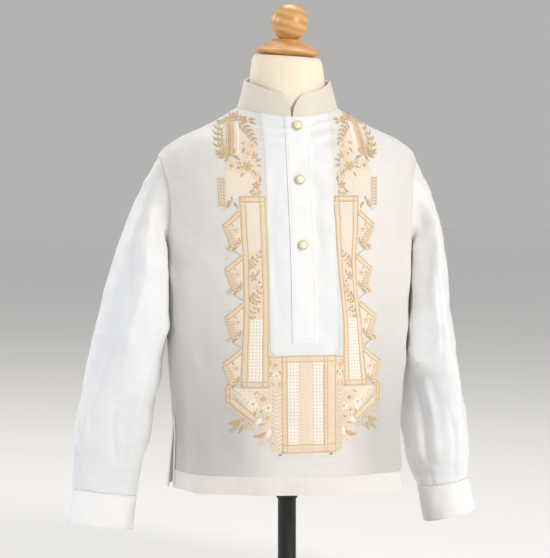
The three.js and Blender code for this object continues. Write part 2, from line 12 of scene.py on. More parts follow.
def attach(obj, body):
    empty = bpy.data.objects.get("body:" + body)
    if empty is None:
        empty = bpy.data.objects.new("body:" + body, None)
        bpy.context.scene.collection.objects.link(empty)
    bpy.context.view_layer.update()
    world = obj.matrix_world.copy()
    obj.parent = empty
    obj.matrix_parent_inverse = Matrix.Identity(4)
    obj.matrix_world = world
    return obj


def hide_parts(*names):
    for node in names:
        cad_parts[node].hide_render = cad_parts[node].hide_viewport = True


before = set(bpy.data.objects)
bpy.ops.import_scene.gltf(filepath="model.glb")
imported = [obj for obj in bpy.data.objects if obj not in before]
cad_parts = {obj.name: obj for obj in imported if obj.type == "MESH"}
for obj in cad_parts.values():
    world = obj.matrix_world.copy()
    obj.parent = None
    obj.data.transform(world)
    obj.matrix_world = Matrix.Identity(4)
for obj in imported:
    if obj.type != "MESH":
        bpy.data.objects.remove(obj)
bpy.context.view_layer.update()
MM = 0.001

# Camera at the photograph's angle: a little to the wearer's right of the front, and a little above
camera_azimuth = math.radians(-12)
camera_distance, camera_height, camera_aim_height, camera_to_left = 3.2, 0.606, 0.385, 0.0144
camera_right = Vector((math.cos(camera_azimuth), math.sin(camera_azimuth), 0))
camera_back = Vector((math.sin(camera_azimuth), -math.cos(camera_azimuth), 0))
camera_side = camera_right * -camera_to_left
camera = bpy.data.objects.new("camera", bpy.data.cameras.new("camera"))
bpy.context.scene.collection.objects.link(camera)
camera.location = camera_side + camera_back * camera_distance + Vector((0, 0, camera_height))
camera_aim = camera_side + Vector((0, 0, camera_aim_height))
camera.rotation_euler = (camera_aim - camera.location).to_track_quat("-Z", "Y").to_euler()
camera.data.sensor_width = 36
camera.data.lens = 172.4
bpy.context.scene.camera = camera
bpy.context.scene.view_settings.view_transform = "Standard"


def linear(hex_colour):
    """sRGB hex colour as linear RGBA."""
    parts = [int(hex_colour[i : i + 2], 16) / 255 for i in (1, 3, 5)]
    return (*[c / 12.92 if c <= 0.04045 else ((c + 0.055) / 1.055) ** 2.4 for c in parts], 1)


def soft_light(name, place, aim, size, power, colour):
    lamp = bpy.data.lights.new(name, "AREA")
    lamp.shape = "DISK"
    lamp.size = size
    lamp.energy = power
    lamp.color = linear(colour)[:3]
    holder = bpy.data.objects.new(name, lamp)
    bpy.context.scene.collection.objects.link(holder)
    holder.location = place
    holder.rotation_euler = (Vector(aim) - Vector(place)).to_track_quat("-Z", "Y").to_euler()


# Soft studio light: the key stands high at the viewer's right, and the fill at the left
soft_light("key_light", (1.55, -2.35, 1.45), (0, 0, 0.38), 1.1, 50.5, "#fffaf4")
soft_light("fill_light", (-2.8, 0.1, 1.3), (0, 0, 0.4), 1.2, 21, "#f1f5ff")
soft_light("top_light", (0.2, 0.7, 2.5), (0, 0, 0.5), 1.4, 20, "#ffffff")
soft_light("back_light", (-2.1, 1.9, 1.5), (0, 0, 0.4), 1.2, 17, "#fff6ea")
world = bpy.data.worlds.new("studio")
bpy.context.scene.world = world
world.use_nodes = True
backdrop = world.node_tree.nodes["Background"]
backdrop.inputs["Color"].default_value = linear("#e4e3e2")
backdrop.inputs["Strength"].default_value = 0.585


# Materials
def material(name):
    made = bpy.data.materials.new(name)
    made.use_nodes = True
    return made


def add(made, kind, inputs=None, **settings):
    """Adds a node, with its settings, and with its inputs given as values or as other nodes' outputs."""
    node = made.node_tree.nodes.new(kind)
    for key, value in settings.items():
        setattr(node, key, value)
    for key, value in (inputs or {}).items():
        if isinstance(value, bpy.types.NodeSocket):
            made.node_tree.links.new(value, node.inputs[key])
        else:
            node.inputs[key].default_value = value
    return node


def noise(made, place, scale, detail):
    """Cloudy values from 0 to 1, with scale in clouds a metre."""
    return add(made, "ShaderNodeTexNoise", {"Vector": place, "Scale": scale, "Detail": detail}).outputs[0]


def span(made, value, low, high, first=0, last=1, smooth=False):
    """A value between low and high as one between first and last, held at both ends."""
    kind = "SMOOTHSTEP" if smooth else "LINEAR"
    return add(made, "ShaderNodeMapRange", {
        "Value": value, "From Min": low, "From Max": high, "To Min": first, "To Max": last,
    }, interpolation_type=kind).outputs[0]


def blend(made, share, first, second):
    """A colour between two, each given as hex or as another node's output."""
    ends = [linear(colour) if isinstance(colour, str) else colour for colour in (first, second)]
    mixed = add(made, "ShaderNodeMix", {"Factor": share, "A": ends[0], "B": ends[1]}, data_type="RGBA")
    return mixed.outputs["Result"]


def bump(made, height, strength, distance, normal=None, invert=False):
    """Relief in the shading, its distance in millimetres."""
    inputs = {"Height": height, "Strength": strength, "Distance": distance * MM}
    if normal is not None:
        inputs["Normal"] = normal
    return add(made, "ShaderNodeBump", inputs, invert=invert).outputs[0]


def surface(made, inputs):
    """Sets the material's own shader."""
    shader = made.node_tree.nodes["Principled BSDF"]
    for key, value in inputs.items():
        if isinstance(value, bpy.types.NodeSocket):
            made.node_tree.links.new(value, shader.inputs[key])
        else:
            shader.inputs[key].default_value = value
    return made


def woven(name, pale, dark, warm, thread, slub_depth, weave_depth, roughness, sheen, through, clear=None):
    """A plain weave on the cloth's own UV map, in metres, with slubs along the weft and uneven tone.

    clear gives a colour of painted light and shade, which the cloth turns to lower down and further out from
    the middle: the colour, the two heights between which it turns, and the two distances from the middle
    between which it turns. It paints shade on the body's cloth and light on the sleeves'.
    """
    made = material(name)
    place = add(made, "ShaderNodeUVMap").outputs["UV"]
    yarns = {"Vector": place, "Scale": 1 / thread * math.pi / 10, "Detail": 1.0, "Detail Scale": 0.6}
    warp = add(made, "ShaderNodeTexWave", {**yarns, "Distortion": 1.2}, bands_direction="X")
    weft = add(made, "ShaderNodeTexWave", {**yarns, "Distortion": 1.5}, bands_direction="Y")
    drawn_out = add(made, "ShaderNodeMapping", {"Vector": place, "Scale": (14, 330, 1)})
    slubs = noise(made, drawn_out.outputs[0], 1.6, 3.0)
    upright = add(made, "ShaderNodeMapping", {"Vector": place, "Scale": (210, 9, 1)})
    ends = noise(made, upright.outputs[0], 1.3, 2.0)
    clouds = noise(made, place, 9.0, 2.0)
    streaks = add(made, "ShaderNodeMath", {0: slubs, 1: ends}, operation="MULTIPLY")
    tone = span(made, streaks.outputs[0], 0.08, 0.46)
    mixed = blend(made, tone, dark, pale)
    patch = span(made, clouds, 0.42, 0.75, 0, 0.5)
    colour = blend(made, patch, mixed, warm)
    if clear:
        # Painted light and shade: lower down and further from the middle, the colour turns to the one given
        object_place = add(made, "ShaderNodeTexCoord").outputs["Object"]
        parts = add(made, "ShaderNodeSeparateXYZ", {"Vector": object_place})
        painted_colour, high, low, near, far = clear
        lower = span(made, parts.outputs["Z"], high, low, smooth=True)
        aside = add(made, "ShaderNodeMath", {0: parts.outputs["X"]}, operation="ABSOLUTE")
        outer = span(made, aside.outputs[0], near, far, smooth=True)
        share = add(made, "ShaderNodeMath", {0: lower, 1: outer}, operation="MULTIPLY")
        colour = blend(made, share.outputs[0], colour, painted_colour)
    crossing = add(made, "ShaderNodeMath", {0: warp.outputs["Fac"], 1: weft.outputs["Fac"]}, operation="ADD")
    weave = bump(made, crossing.outputs[0], 0.15, weave_depth)
    relief = bump(made, slubs, 0.22, slub_depth, normal=weave)
    gloss = span(made, slubs, 0.3, 0.7, roughness - 0.08, roughness + 0.1)
    return surface(made, {
        "Base Color": colour, "Roughness": gloss, "Normal": relief,
        "Sheen Weight": sheen, "Sheen Roughness": 0.35, "Sheen Tint": linear("#ffffff"), "IOR": 1.5,
        "Subsurface Weight": through, "Subsurface Radius": (1.0, 0.85, 0.75), "Subsurface Scale": 0.004,
    })


# Jusi, a sheer silk and pineapple plain weave: crisp, with a soft silk gloss and slubs along the weft.
# Its threads lie 0.3 mm apart, and are drawn 1.2 mm apart so that they show.
# Over the form it takes on some of the cream of the cover under it.
jusi = woven(
    "jusi_silk_weave", "#f2f0ed", "#ebeae7", "#f1ebe5", 1.2 * MM, 0.16, 0.05, 0.44, 0.6, 0.35,
    # Painted light: lower down the sleeves turn paler and bluer, as light shining through the sheer cloth
    clear=("#fafcff", 0.52, 0.37, 0.1, 0.16),
)
jusi_over_form = woven(
    "jusi_over_form", "#edeae5", "#e7e3de", "#eee2d8", 1.2 * MM, 0.16, 0.05, 0.48, 0.35, 0.35,
    # Painted shade: below the chest and towards the sides the body's cloth turns grey, as the shade of the
    # hollow behind it
    clear=("#c9c6c4", 0.42, 0.18, 0.03, 0.1),
)
# Two plies of it over a stiffener, pressed: whiter, and closer to matt.
pressed = (1.0 * MM, 0.08, 0.04, 0.55, 0.25, 0.25)
faced_jusi = woven("faced_jusi", "#fbfcff", "#f6f7f9", "#fbfaf9", *pressed)
collar_jusi = woven("faced_collar_jusi", "#e6dfd3", "#ddd5c8", "#e7ddcd", *pressed)
# The hem is folded twice, so nothing shows through it: whiter and a little warmer than the single cloth.
hem_jusi = woven("hemmed_jusi", "#fbf6ef", "#f3ece3", "#f9ece0", 1.0 * MM, 0.1, 0.04, 0.5, 0.3, 0.25)
# Cotton and elastane jersey, knitted, stretched over the form: cream, matt, with fine upright ribs.
jersey = woven("cotton_jersey", "#faeedb", "#f2e3cb", "#fbf0e0", 0.9 * MM, 0.05, 0.08, 0.8, 0.3, 0.0)


def satin_thread(name, pale, dark, roughness, spacing=0.8):
    """Rayon embroidery thread in satin stitch. The threads lie 0.3 mm apart and are drawn 0.8 mm apart."""
    made = material(name)
    place = add(made, "ShaderNodeUVMap").outputs["UV"]
    stitch = add(made, "ShaderNodeTexWave", {
        "Vector": place, "Scale": math.pi / (10 * spacing * MM), "Distortion": 0.8, "Detail": 1.0,
    }, bands_direction="X")
    patches = noise(made, place, 210.0, 2.0)
    deep = add(made, "ShaderNodeMath", {
        0: stitch.outputs["Fac"], 1: patches,
    }, operation="MULTIPLY")
    tone = span(made, deep.outputs[0], 0.02, 0.45)
    mixed = blend(made, tone, dark, pale)
    relief = bump(made, stitch.outputs["Fac"], 0.5, 0.2)
    return surface(made, {
        "Base Color": mixed, "Roughness": roughness, "Normal": relief,
        "Sheen Weight": 0.25, "Sheen Roughness": 0.3, "IOR": 1.5,
    })


gold_thread = satin_thread("gold_satin_thread", "#e8d0a6", "#c6a675", 0.4)
champagne_thread = satin_thread("champagne_satin_thread", "#f3e1cc", "#e1c8ab", 0.44)
olive_thread = satin_thread("olive_satin_thread", "#d6c498", "#ae9a6c", 0.44)
russet_thread = satin_thread("russet_satin_thread", "#dec1a0", "#b8966f", 0.44)
slate_thread = satin_thread("slate_satin_thread", "#cfc8bc", "#a89f90", 0.44)
cream_thread = satin_thread("cream_satin_thread", "#fdf8f0", "#f1e6d8", 0.42)
sewing_thread = satin_thread("cotton_sewing_thread", "#fbfaf6", "#d8d4cc", 0.55, 0.6)


def drawn_net(name, ground, thread, hole, pitch, first=0.58, full=0.82):
    """Drawn-thread work: a cream net with small square eyelets, on the piece's UV map."""
    made = material(name)
    place = add(made, "ShaderNodeUVMap").outputs["UV"]
    parts = add(made, "ShaderNodeSeparateXYZ", {"Vector": place})
    rows = []
    for axis in ("X", "Y"):
        counted = add(made, "ShaderNodeMath", {0: parts.outputs[axis], 1: math.pi / (pitch * MM)},
                      operation="MULTIPLY")
        waved = add(made, "ShaderNodeMath", {0: counted.outputs[0]}, operation="SINE")
        squared = add(made, "ShaderNodeMath", {
            0: waved.outputs[0], 1: waved.outputs[0],
        }, operation="MULTIPLY")
        rows.append(squared.outputs[0])
    dots = add(made, "ShaderNodeMath", {0: rows[0], 1: rows[1]}, operation="MULTIPLY")
    eyelet = span(made, dots.outputs[0], first, full)
    wander = noise(made, place, 260.0, 2.0)
    body = blend(made, wander, ground, thread)
    # The eyelets take the hole colour, which stands for what shows through them: painted shade where it is
    # dark
    mixed = blend(made, eyelet, body, hole)
    relief = bump(made, dots.outputs[0], 0.9, 0.45, invert=True)
    return surface(made, {
        "Base Color": mixed, "Roughness": 0.55, "Normal": relief,
        "Sheen Weight": 0.2, "IOR": 1.5,
    })


# The eyelets lie about 1 mm apart on such work, and are drawn 2 to 4 mm apart so that they show
# On the net and the openwork the eyelets are painted dark tan, as the shade seen through their holes
net_work = drawn_net("drawn_thread_net", "#f6eee4", "#ede1d2", "#cfb592", 2.4)
open_work = drawn_net("openwork_net", "#f7f1e9", "#f0e7da", "#c9b293", 3.9, 0.6, 0.9)
lace_work = drawn_net("bobbin_lace", "#efddcb", "#e3c9b0", "#fbf1e4", 2.7, 0.4, 0.75)


def ribbed_ground(name, pale, dark, pitch):
    """Rows of couched threads, which run along the piece's U direction."""
    made = material(name)
    place = add(made, "ShaderNodeUVMap").outputs["UV"]
    ribs = add(made, "ShaderNodeTexWave", {
        "Vector": place, "Scale": math.pi / (10 * pitch * MM), "Distortion": 1.4, "Detail": 2.0,
    }, bands_direction="Y")
    mixed = blend(made, ribs.outputs["Fac"], dark, pale)
    relief = bump(made, ribs.outputs["Fac"], 0.8, 0.4)
    return surface(made, {
        "Base Color": mixed, "Roughness": 0.5, "Normal": relief,
        "Sheen Weight": 0.2, "IOR": 1.5,
    })


rib_work = ribbed_ground("couched_rib_work", "#f5e5d3", "#e9d5bc", 2.0)


def turned_wood():
    """Beech, turned, stained honey and varnished: fine slanting rings, flecks and a clear gloss."""
    made = material("varnished_beech")
    place = add(made, "ShaderNodeTexCoord").outputs["Object"]
    laid = add(made, "ShaderNodeMapping", {"Vector": place, "Rotation": (0.35, 1.25, 0.2)})
    rings = add(made, "ShaderNodeTexWave", {
        "Vector": laid.outputs[0], "Scale": 34.0, "Distortion": 3.2, "Detail": 3.0, "Detail Scale": 1.4,
    }, wave_type="RINGS", rings_direction="Z")
    drawn = add(made, "ShaderNodeMapping", {"Vector": laid.outputs[0], "Scale": (1500, 1500, 130)})
    flecks = noise(made, drawn.outputs[0], 1.0, 2.0)
    grain = blend(made, rings.outputs["Fac"], "#cb9656", "#dfb173")
    fleck = span(made, flecks, 0.55, 0.75, 0, 0.55)
    mixed = blend(made, fleck, grain, "#b98446")
    relief = bump(made, flecks, 0.15, 0.1)
    return surface(made, {
        "Base Color": mixed, "Roughness": 0.42, "Normal": relief,
        "Coat Weight": 0.45, "Coat Roughness": 0.22, "IOR": 1.5,
    })


def painted_steel():
    """Mild steel, powder coated black: satin gloss with a fine orange peel."""
    made = material("black_powder_coat")
    place = add(made, "ShaderNodeTexCoord").outputs["Object"]
    peel = noise(made, place, 620.0, 2.0)
    dust = noise(made, place, 24.0, 4.0)
    tone = blend(made, dust, "#121315", "#222326")
    gloss = span(made, dust, 0, 1, 0.36, 0.56)
    relief = bump(made, peel, 0.3, 0.12)
    return surface(made, {
        "Base Color": tone, "Roughness": gloss, "Normal": relief,
        "IOR": 1.5,
    })


def gilt():
    """Brass, gold plated and polished, a little duller in patches at random."""
    made = material("gilt_brass")
    place = add(made, "ShaderNodeTexCoord").outputs["Object"]
    wear = noise(made, place, 420.0, 3.0)
    tone = blend(made, wear, "#cdb273", "#f3e2b4")
    gloss = span(made, wear, 0, 1, 0.2, 0.42)
    return surface(made, {
        "Base Color": tone, "Metallic": 1.0, "Roughness": gloss,
    })


def pearl():
    """Moulded imitation pearl: cream, with a soft lustre under a clear coat."""
    made = material("imitation_pearl")
    place = add(made, "ShaderNodeTexCoord").outputs["Object"]
    lustre = noise(made, place, 260.0, 1.0)
    tone = blend(made, lustre, "#fff2c8", "#fffbe8")
    return surface(made, {
        "Base Color": tone, "Roughness": 0.25, "Coat Weight": 0.8, "Coat Roughness": 0.08,
        "Subsurface Weight": 0.1, "IOR": 1.6,
    })


beech = turned_wood()
black_steel = painted_steel()
gilt_brass = gilt()
pearl_shell = pearl()


# Shape tables, in millimetres and degrees, the same as the solids' own
def table(names, rows):
    return dict(zip(names.split(), np.array(rows, float).T))


RING = "side_z front_z back_z wide fore aft square tip"
body_sections = table(RING, [
    (136, 138.5, 136, 140, 104, 91, 2.3, 1),
    (176, 178, 176, 138.5, 103, 89, 2.3, 0.6),
    (216, 217, 216, 138, 101, 88, 2.3, 0.2),
    (270, 270, 270, 142, 99, 87, 2.35, 0),
    (330, 330, 330, 145.8, 96, 87, 2.4, 0),
    (385, 384, 385, 149, 92, 87, 2.45, 0),
    (424, 421, 423, 150.5, 87, 87, 2.45, 0),
    (462, 453, 458, 151.5, 81, 86, 2.5, 0),
    (500, 486, 495, 153, 74, 83, 2.5, 0),
    (532, 518, 531, 155.5, 67, 76, 2.45, 0),
    (551, 542, 558, 136.5, 61.5, 68, 2.3, 0),
    (570, 562, 580, 96, 57, 57, 2.15, 0),
    (590, 579.5, 601, 60.5, 52.5, 46, 2, 0),
])
form_sections = table(RING, [
    (168, 168, 168, 120, 85, 74, 2.2, 0),
    (230, 230, 230, 118, 87, 72, 2.2, 0),
    (300, 300, 300, 117, 85, 72, 2.2, 0),
    (370, 370, 370, 121, 80, 76, 2.25, 0),
    (430, 427, 430, 128, 74, 78, 2.3, 0),
    (480, 472, 478, 134, 68, 75, 2.3, 0),
    (516, 503, 514, 138.5, 62, 70, 2.3, 0),
    (538, 526, 540, 139.5, 58, 65, 2.25, 0),
    (549.3, 541, 556.5, 135.2, 54.5, 62, 2.2, 0),
    (568.4, 561, 576.5, 95.1, 52, 52, 2.1, 0),
    (584, 576, 592, 65, 48, 42.5, 2, 0),
    (598, 592, 603, 50, 45, 41, 2, 0),
    (614, 611, 616, 46, 43.8, 41, 2, 0.5),
    (632, 631, 633, 43.8, 42.6, 41, 2, 2.5),
    (646, 646, 646, 41.6, 41.2, 40.5, 2, 4),
    (651, 651, 651, 38.6, 38.4, 38, 2, 4),
])
slit_section, underarm_section, shoulder_section, neck_section = 2, 6, 9, 12
armhole_front = math.radians(15)
armhole_back = math.radians(17)
armhole_middle_section = (underarm_section + shoulder_section) / 2
slit_half_gap = 2.2
hem_z, slit_top_z, slit_flare = 136, 216, 4.5
neck = {name: column[neck_section] for name, column in body_sections.items()}

# Large soft folds. at 0 is the wearer's left side, 90 the centre front and 270 the centre back.
FOLD = "at lean low high spread lift"
body_folds = table(FOLD, [
    (164, 4, 110, 350, 9, -4.0),
    (146, -8, 110, 330, 10, 3.5),
    (124, 7, 120, 300, 8, -3.0),
    (52, -5, 110, 320, 9, -2.6),
    (30, 6, 110, 380, 8, 3.2),
    (13, -3, 110, 330, 7, -3.6),
    (200, 5, 110, 390, 9, 3.4),
    (224, -6, 110, 440, 9, -4.2),
    (250, 4, 110, 480, 9, 4.4),
    (276, -4, 110, 450, 8, -4.4),
    (300, 6, 110, 490, 9, 4.2),
    (326, -5, 110, 420, 9, -3.6),
])
SLEEVE = "z x y major minor turn slope"
sleeves = {
    "right": {
        "side": -1,
        "folds": table(FOLD, [
            (120, -50, 150, 330, 24, -3.2),
            (60, -30, 140, 290, 22, 2.4),
            (40, 50, 300, 470, 26, -2.2),
            (250, 40, 150, 400, 26, -3.2),
        ]),
        "sections": table(SLEEVE, [
            (402, 181.0, 3, 52, 29.8, 90, 4),
            (376, 184.4, 3, 51, 34.2, 90, 4),
            (348, 187.7, 4, 49, 38.5, 90, 5),
            (319, 190.3, 5, 47, 42.5, 88, 6),
            (290, 195.3, 7, 45, 43.7, 84, 7),
            (262, 200.6, 9, 46, 43.8, 60, 7),
            (233, 205.0, 11, 47, 38.0, 25, 8),
            (204, 209.8, 13, 46.2, 31.0, 8, 8),
            (175, 214.5, 16, 41.4, 25.0, 4, 8),
            (147, 217.8, 18, 39.6, 18.0, 3, 8),
            (132, 219.1, 19, 38.4, 14.5, 3, 8),
        ]),
        "cuff": table(SLEEVE, [
            (131.5, 219.2, 19, 39.2, 15.2, 3, 8),
            (111, 222.3, 20, 39.9, 15.2, 3, 8.5),
            (90.5, 225.7, 21, 40.6, 14.6, 3, 9),
        ]),
    },
    "left": {
        "side": 1,
        "folds": table(FOLD, [
            (100, 30, 140, 400, 24, -3.0),
            (60, 0, 150, 350, 20, 2.2),
            (30, 30, 290, 450, 24, -2.2),
            (280, -40, 150, 390, 26, -3.2),
        ]),
        "sections": table(SLEEVE, [
            (402, 174.2, 3, 54, 21.4, 90, 2),
            (376, 175.4, 4, 55, 23.2, 90, 2),
            (348, 176.9, 6, 55, 24.8, 90, 3),
            (319, 178.4, 8, 54, 27.1, 88, 3),
            (290, 179.8, 10, 52, 29.3, 84, 4),
            (262, 181.2, 12, 50, 31.3, 78, 5),
            (233, 183.9, 14, 47, 32.7, 68, 6),
            (204, 187.7, 16, 44, 34.0, 56, 7),
            (175, 192.0, 18, 41.5, 34.5, 45, 8),
            (147, 197.0, 20, 35.0, 26.5, 35, 10),
            (132, 200.1, 21, 30.6, 23.2, 26, 11),
        ]),
        "cuff": table(SLEEVE, [
            (131.5, 200.2, 21, 31.4, 23.9, 25, 11),
            (111, 205.1, 22, 31.9, 23.9, 23, 13),
            (90.5, 210.8, 23, 32.4, 23.4, 21, 15),
        ]),
    },
}

# Smaller creases, each from one point to another of the front or back view, with its half width and its lift
CREASE = "x1 z1 x2 z2 width lift"
front_creases = table(CREASE, [
    (-62, 575, -4, 570, 2.2, -2.2),
    (-60, 570, -6, 565.5, 2.1, 1.6),
    (-60, 564, -6, 560, 2.4, -2.2),
    (-56, 557, -10, 554.5, 2.8, 1.3),
    (-48, 550, -14, 549, 3.4, -1.5),
    (64, 576, 6, 570.5, 2.2, -2.2),
    (62, 570, 8, 566, 2.1, 1.6),
    (62, 564, 10, 561, 2.4, -2.0),
    (56, 557, 16, 554.5, 3.0, 1.1),
    (48, 549, 20, 547, 3.4, -1.2),
    (-146, 466, -112, 432, 5.0, -1.3),
    (-140, 452, -104, 408, 6.0, 1.2),
    (-144, 440, -118, 386, 6.0, -1.0),
    (145, 462, 116, 428, 5.0, -1.2),
    (140, 450, 110, 402, 6.0, 1.0),
    (-130, 410, -116, 262, 7.0, 1.9),
    (-112, 390, -104, 240, 6.0, -1.6),
    (-132, 300, -124, 180, 6.0, -2.0),
    (-99, 250, -101, 165, 5.0, 0.9),
    (-60, 200, -64, 150, 5.0, -0.7),
    (-34, 178, -36, 146, 5.0, 0.6),
    (60, 205, 66, 150, 6.0, -0.8),
    (104, 310, 112, 165, 7.0, 1.9),
    (124, 340, 128, 180, 7.0, -2.1),
    (116, 410, 124, 300, 7.0, 1.4),
    (94, 260, 90, 160, 6.0, -1.4),
    (-22, 548, -25, 330, 6.0, -1.1),
    (-30, 470, -34, 340, 5.0, 0.7),
    (27, 530, 29, 380, 5.0, -0.6),
    (-118, 520, -98, 470, 6.0, 0.8),
    (118, 522, 100, 468, 6.0, 0.8),
    (-148, 512, -118, 500, 5.0, -0.7),
    (146, 508, 120, 494, 5.0, -0.7),
])
back_creases = table(CREASE, [
    (-142, 474, -92, 424, 5.0, -2.0),
    (142, 474, 94, 422, 5.0, -2.0),
    (-136, 458, -80, 392, 6.0, 1.8),
    (138, 456, 82, 396, 6.0, 1.7),
    (-140, 440, -100, 360, 6.0, -1.3),
    (140, 438, 104, 356, 6.0, -1.3),
    (-62, 562, 64, 557, 5.0, -1.0),
    (-50, 545, 40, 541, 6.0, 0.7),
    (-22, 480, -30, 240, 8.0, 2.0),
    (32, 460, 28, 220, 8.0, -1.9),
    (-78, 400, -72, 180, 8.0, 1.9),
    (-54, 380, -52, 170, 7.0, -1.8),
    (82, 380, 88, 180, 8.0, -1.9),
    (60, 350, 58, 160, 7.0, 1.6),
    (-112, 350, -120, 180, 7.0, -1.8),
    (118, 360, 122, 170, 7.0, 1.8),
    (6, 280, 2, 150, 7.0, 1.3),
])
# The same for a sleeve, where x is the bearing in degrees, from 0 at its outer side, times mm_a_degree
mm_a_degree = 0.7
right_sleeve_creases = table(CREASE, [
    (64, 500, 92, 424, 3.5, -2.3),
    (84, 484, 106, 396, 3.9, 2.0),
    (40, 470, 54, 350, 4.7, -2.0),
    (72, 410, 60, 250, 4.7, 1.8),
    (94, 400, 88, 270, 3.9, -2.0),
    (46, 340, 36, 205, 3.9, -2.3),
    (26, 270, 42, 172, 3.9, 2.5),
    (58, 250, 76, 156, 3.9, -2.5),
    (84, 230, 92, 150, 3.9, 2.0),
    (96, 310, 84, 190, 4.7, 2.0),
    (110, 420, 122, 260, 6.0, -1.6),
    (150, 360, 164, 220, 5.5, -2.3),
    (170, 300, 178, 170, 4.7, 2.0),
    (196, 460, 180, 300, 5.5, 2.2),
    (216, 330, 222, 190, 5.5, -2.2),
    (8, 206, 14, 148, 3.5, 2.2),
    (22, 190, 24, 146, 3.5, -1.8),
    (244, 210, 238, 150, 3.5, 2.1),
])
left_sleeve_creases = table(CREASE, [
    (60, 506, 86, 436, 4.5, -1.2),
    (84, 490, 102, 396, 4.5, 1.1),
    (30, 470, 46, 370, 4.7, -1.8),
    (98, 290, 78, 142, 4.7, 2.5),
    (112, 280, 92, 138, 4.7, -3.6),
    (54, 330, 44, 190, 4.7, 2.1),
    (72, 410, 66, 270, 4.7, -2.0),
    (62, 240, 56, 146, 3.5, -2.2),
    (24, 290, 30, 170, 4.7, -2.2),
    (40, 220, 34, 146, 3.5, 2.2),
    (150, 380, 160, 230, 5.5, -2.3),
    (172, 290, 176, 160, 4.7, 2.0),
    (196, 440, 184, 280, 5.5, 2.1),
    (220, 320, 226, 180, 5.5, -2.2),
    (4, 196, 10, 146, 3.5, 2.1),
])


# Shape functions, the same as the solids' own. Angles and places are arrays of one shape.
def between(rows, place):
    """Columns of a table at places between its rows, on a smooth curve through the rows."""
    last = len(next(iter(rows.values()))) - 1
    row = np.clip(np.floor(place), 0, last - 1).astype(int)
    t = place - row
    near = [np.clip(row + step, 0, last) for step in (-1, 0, 1, 2)]
    made = {}
    for name, column in rows.items():
        a, b, c, d = (column[i] for i in near)
        made[name] = b + 0.5 * t * (c - a + t * (2 * a - 5 * b + 4 * c - d + t * (3 * (b - c) + d - a)))
    return made


def signed_power(value, power):
    return np.sign(value) * np.abs(value) ** power


def bell(distance):
    return np.exp(-distance * distance)


def smooth(t):
    return t * t * (3 - 2 * t)


def unit(vectors):
    return vectors / np.maximum(np.linalg.norm(vectors, axis=-1, keepdims=True), 1e-12)


def ring_point(rows, angle, place):
    """Point of a ring at an angle: 0 is the wearer's left side, 90 degrees the front and 270 the back."""
    ring = between(rows, place)
    across, forward = np.cos(angle), np.sin(angle)
    depth = np.where(forward > 0, ring["fore"], ring["aft"])
    middle_z = np.where(forward > 0, ring["front_z"], ring["back_z"])
    tip = np.tan(np.radians(ring["tip"]))
    return np.stack([
        ring["wide"] * signed_power(across, 2 / ring["square"]),
        -depth * signed_power(forward, 2 / ring["square"]),
        ring["side_z"] + (middle_z - ring["side_z"]) * forward**2 - ring["wide"] * across * tip,
    ], axis=-1)


def angle_between(one, other):
    return (one - other + 540) % 360 - 180


def fold_lift(folds, degrees, z, both_ends=False):
    lift = np.zeros_like(z)
    for at, lean, low, high, spread, height in zip(*folds.values()):
        rise = np.clip((z - low) / (high - low), 0, 1)
        away = angle_between(degrees, at + lean * rise)
        fade = np.sin(np.pi * rise) ** 2 if both_ends else smooth(1 - rise)
        lift += height * bell(away / spread) * fade
    return lift


def crease_lift(creases, x, z):
    """Ridges and troughs along straight lines, deepest in their middle."""
    lift = np.zeros_like(z)
    for x1, z1, x2, z2, width, height in zip(*creases.values()):
        length = math.hypot(x2 - x1, z2 - z1)
        along_x, along_z = (x2 - x1) / length, (z2 - z1) / length
        along = ((x - x1) * along_x + (z - z1) * along_z) / length
        aside = (x - x1) * along_z - (z - z1) * along_x
        bow = 0.06 * length * np.sin(np.pi * np.clip(along, 0, 1))
        fade = np.sin(np.pi * np.clip(along * 0.86 + 0.07, 0, 1)) ** 2
        fade = np.where((along < -0.08) | (along > 1.08), 0, fade)
        lift += height * bell((aside - bow) / width) * fade
    return lift


# The cloth's unevenness, as straight waves of a direction, a length and a start, drawn from one seed
chance = random.Random(7)
crumple_waves = [
    (chance.uniform(0, 2 * math.pi), chance.uniform(17, 60), chance.uniform(0, 6.28)) for _ in range(22)
]
ripple_waves = [
    (math.pi / 2 + chance.uniform(-0.35, 0.35), chance.uniform(5, 15), chance.uniform(0, 6.28))
    for _ in range(14)
]
crumple_total, ripple_total = 260, 40
body_crumple, body_ripple, sleeve_crumple, sleeve_ripple = 0.85, 0.07, 1.3, 0.2


def wave_sum(waves, u, v):
    """All waves together, each as high as it is long."""
    lift = np.zeros_like(u)
    for turn, length, start in waves:
        lift += length * np.sin((u * math.cos(turn) + v * math.sin(turn)) * 2 * math.pi / length + start)
    return lift


def crumple(u, v, size):
    """The slight unevenness of crisp cloth: many small waves in all directions."""
    return size * wave_sum(crumple_waves, u, v) / crumple_total


def ripple(u, v, size):
    """Fine ripples along the weft, stronger in some places than in others."""
    place = 0.6 + 0.4 * np.sin(u / 23 + 1.3 * np.sin(v / 61)) * np.sin(v / 37 + 0.8)
    return size * wave_sum(ripple_waves, u, v) * place / ripple_total


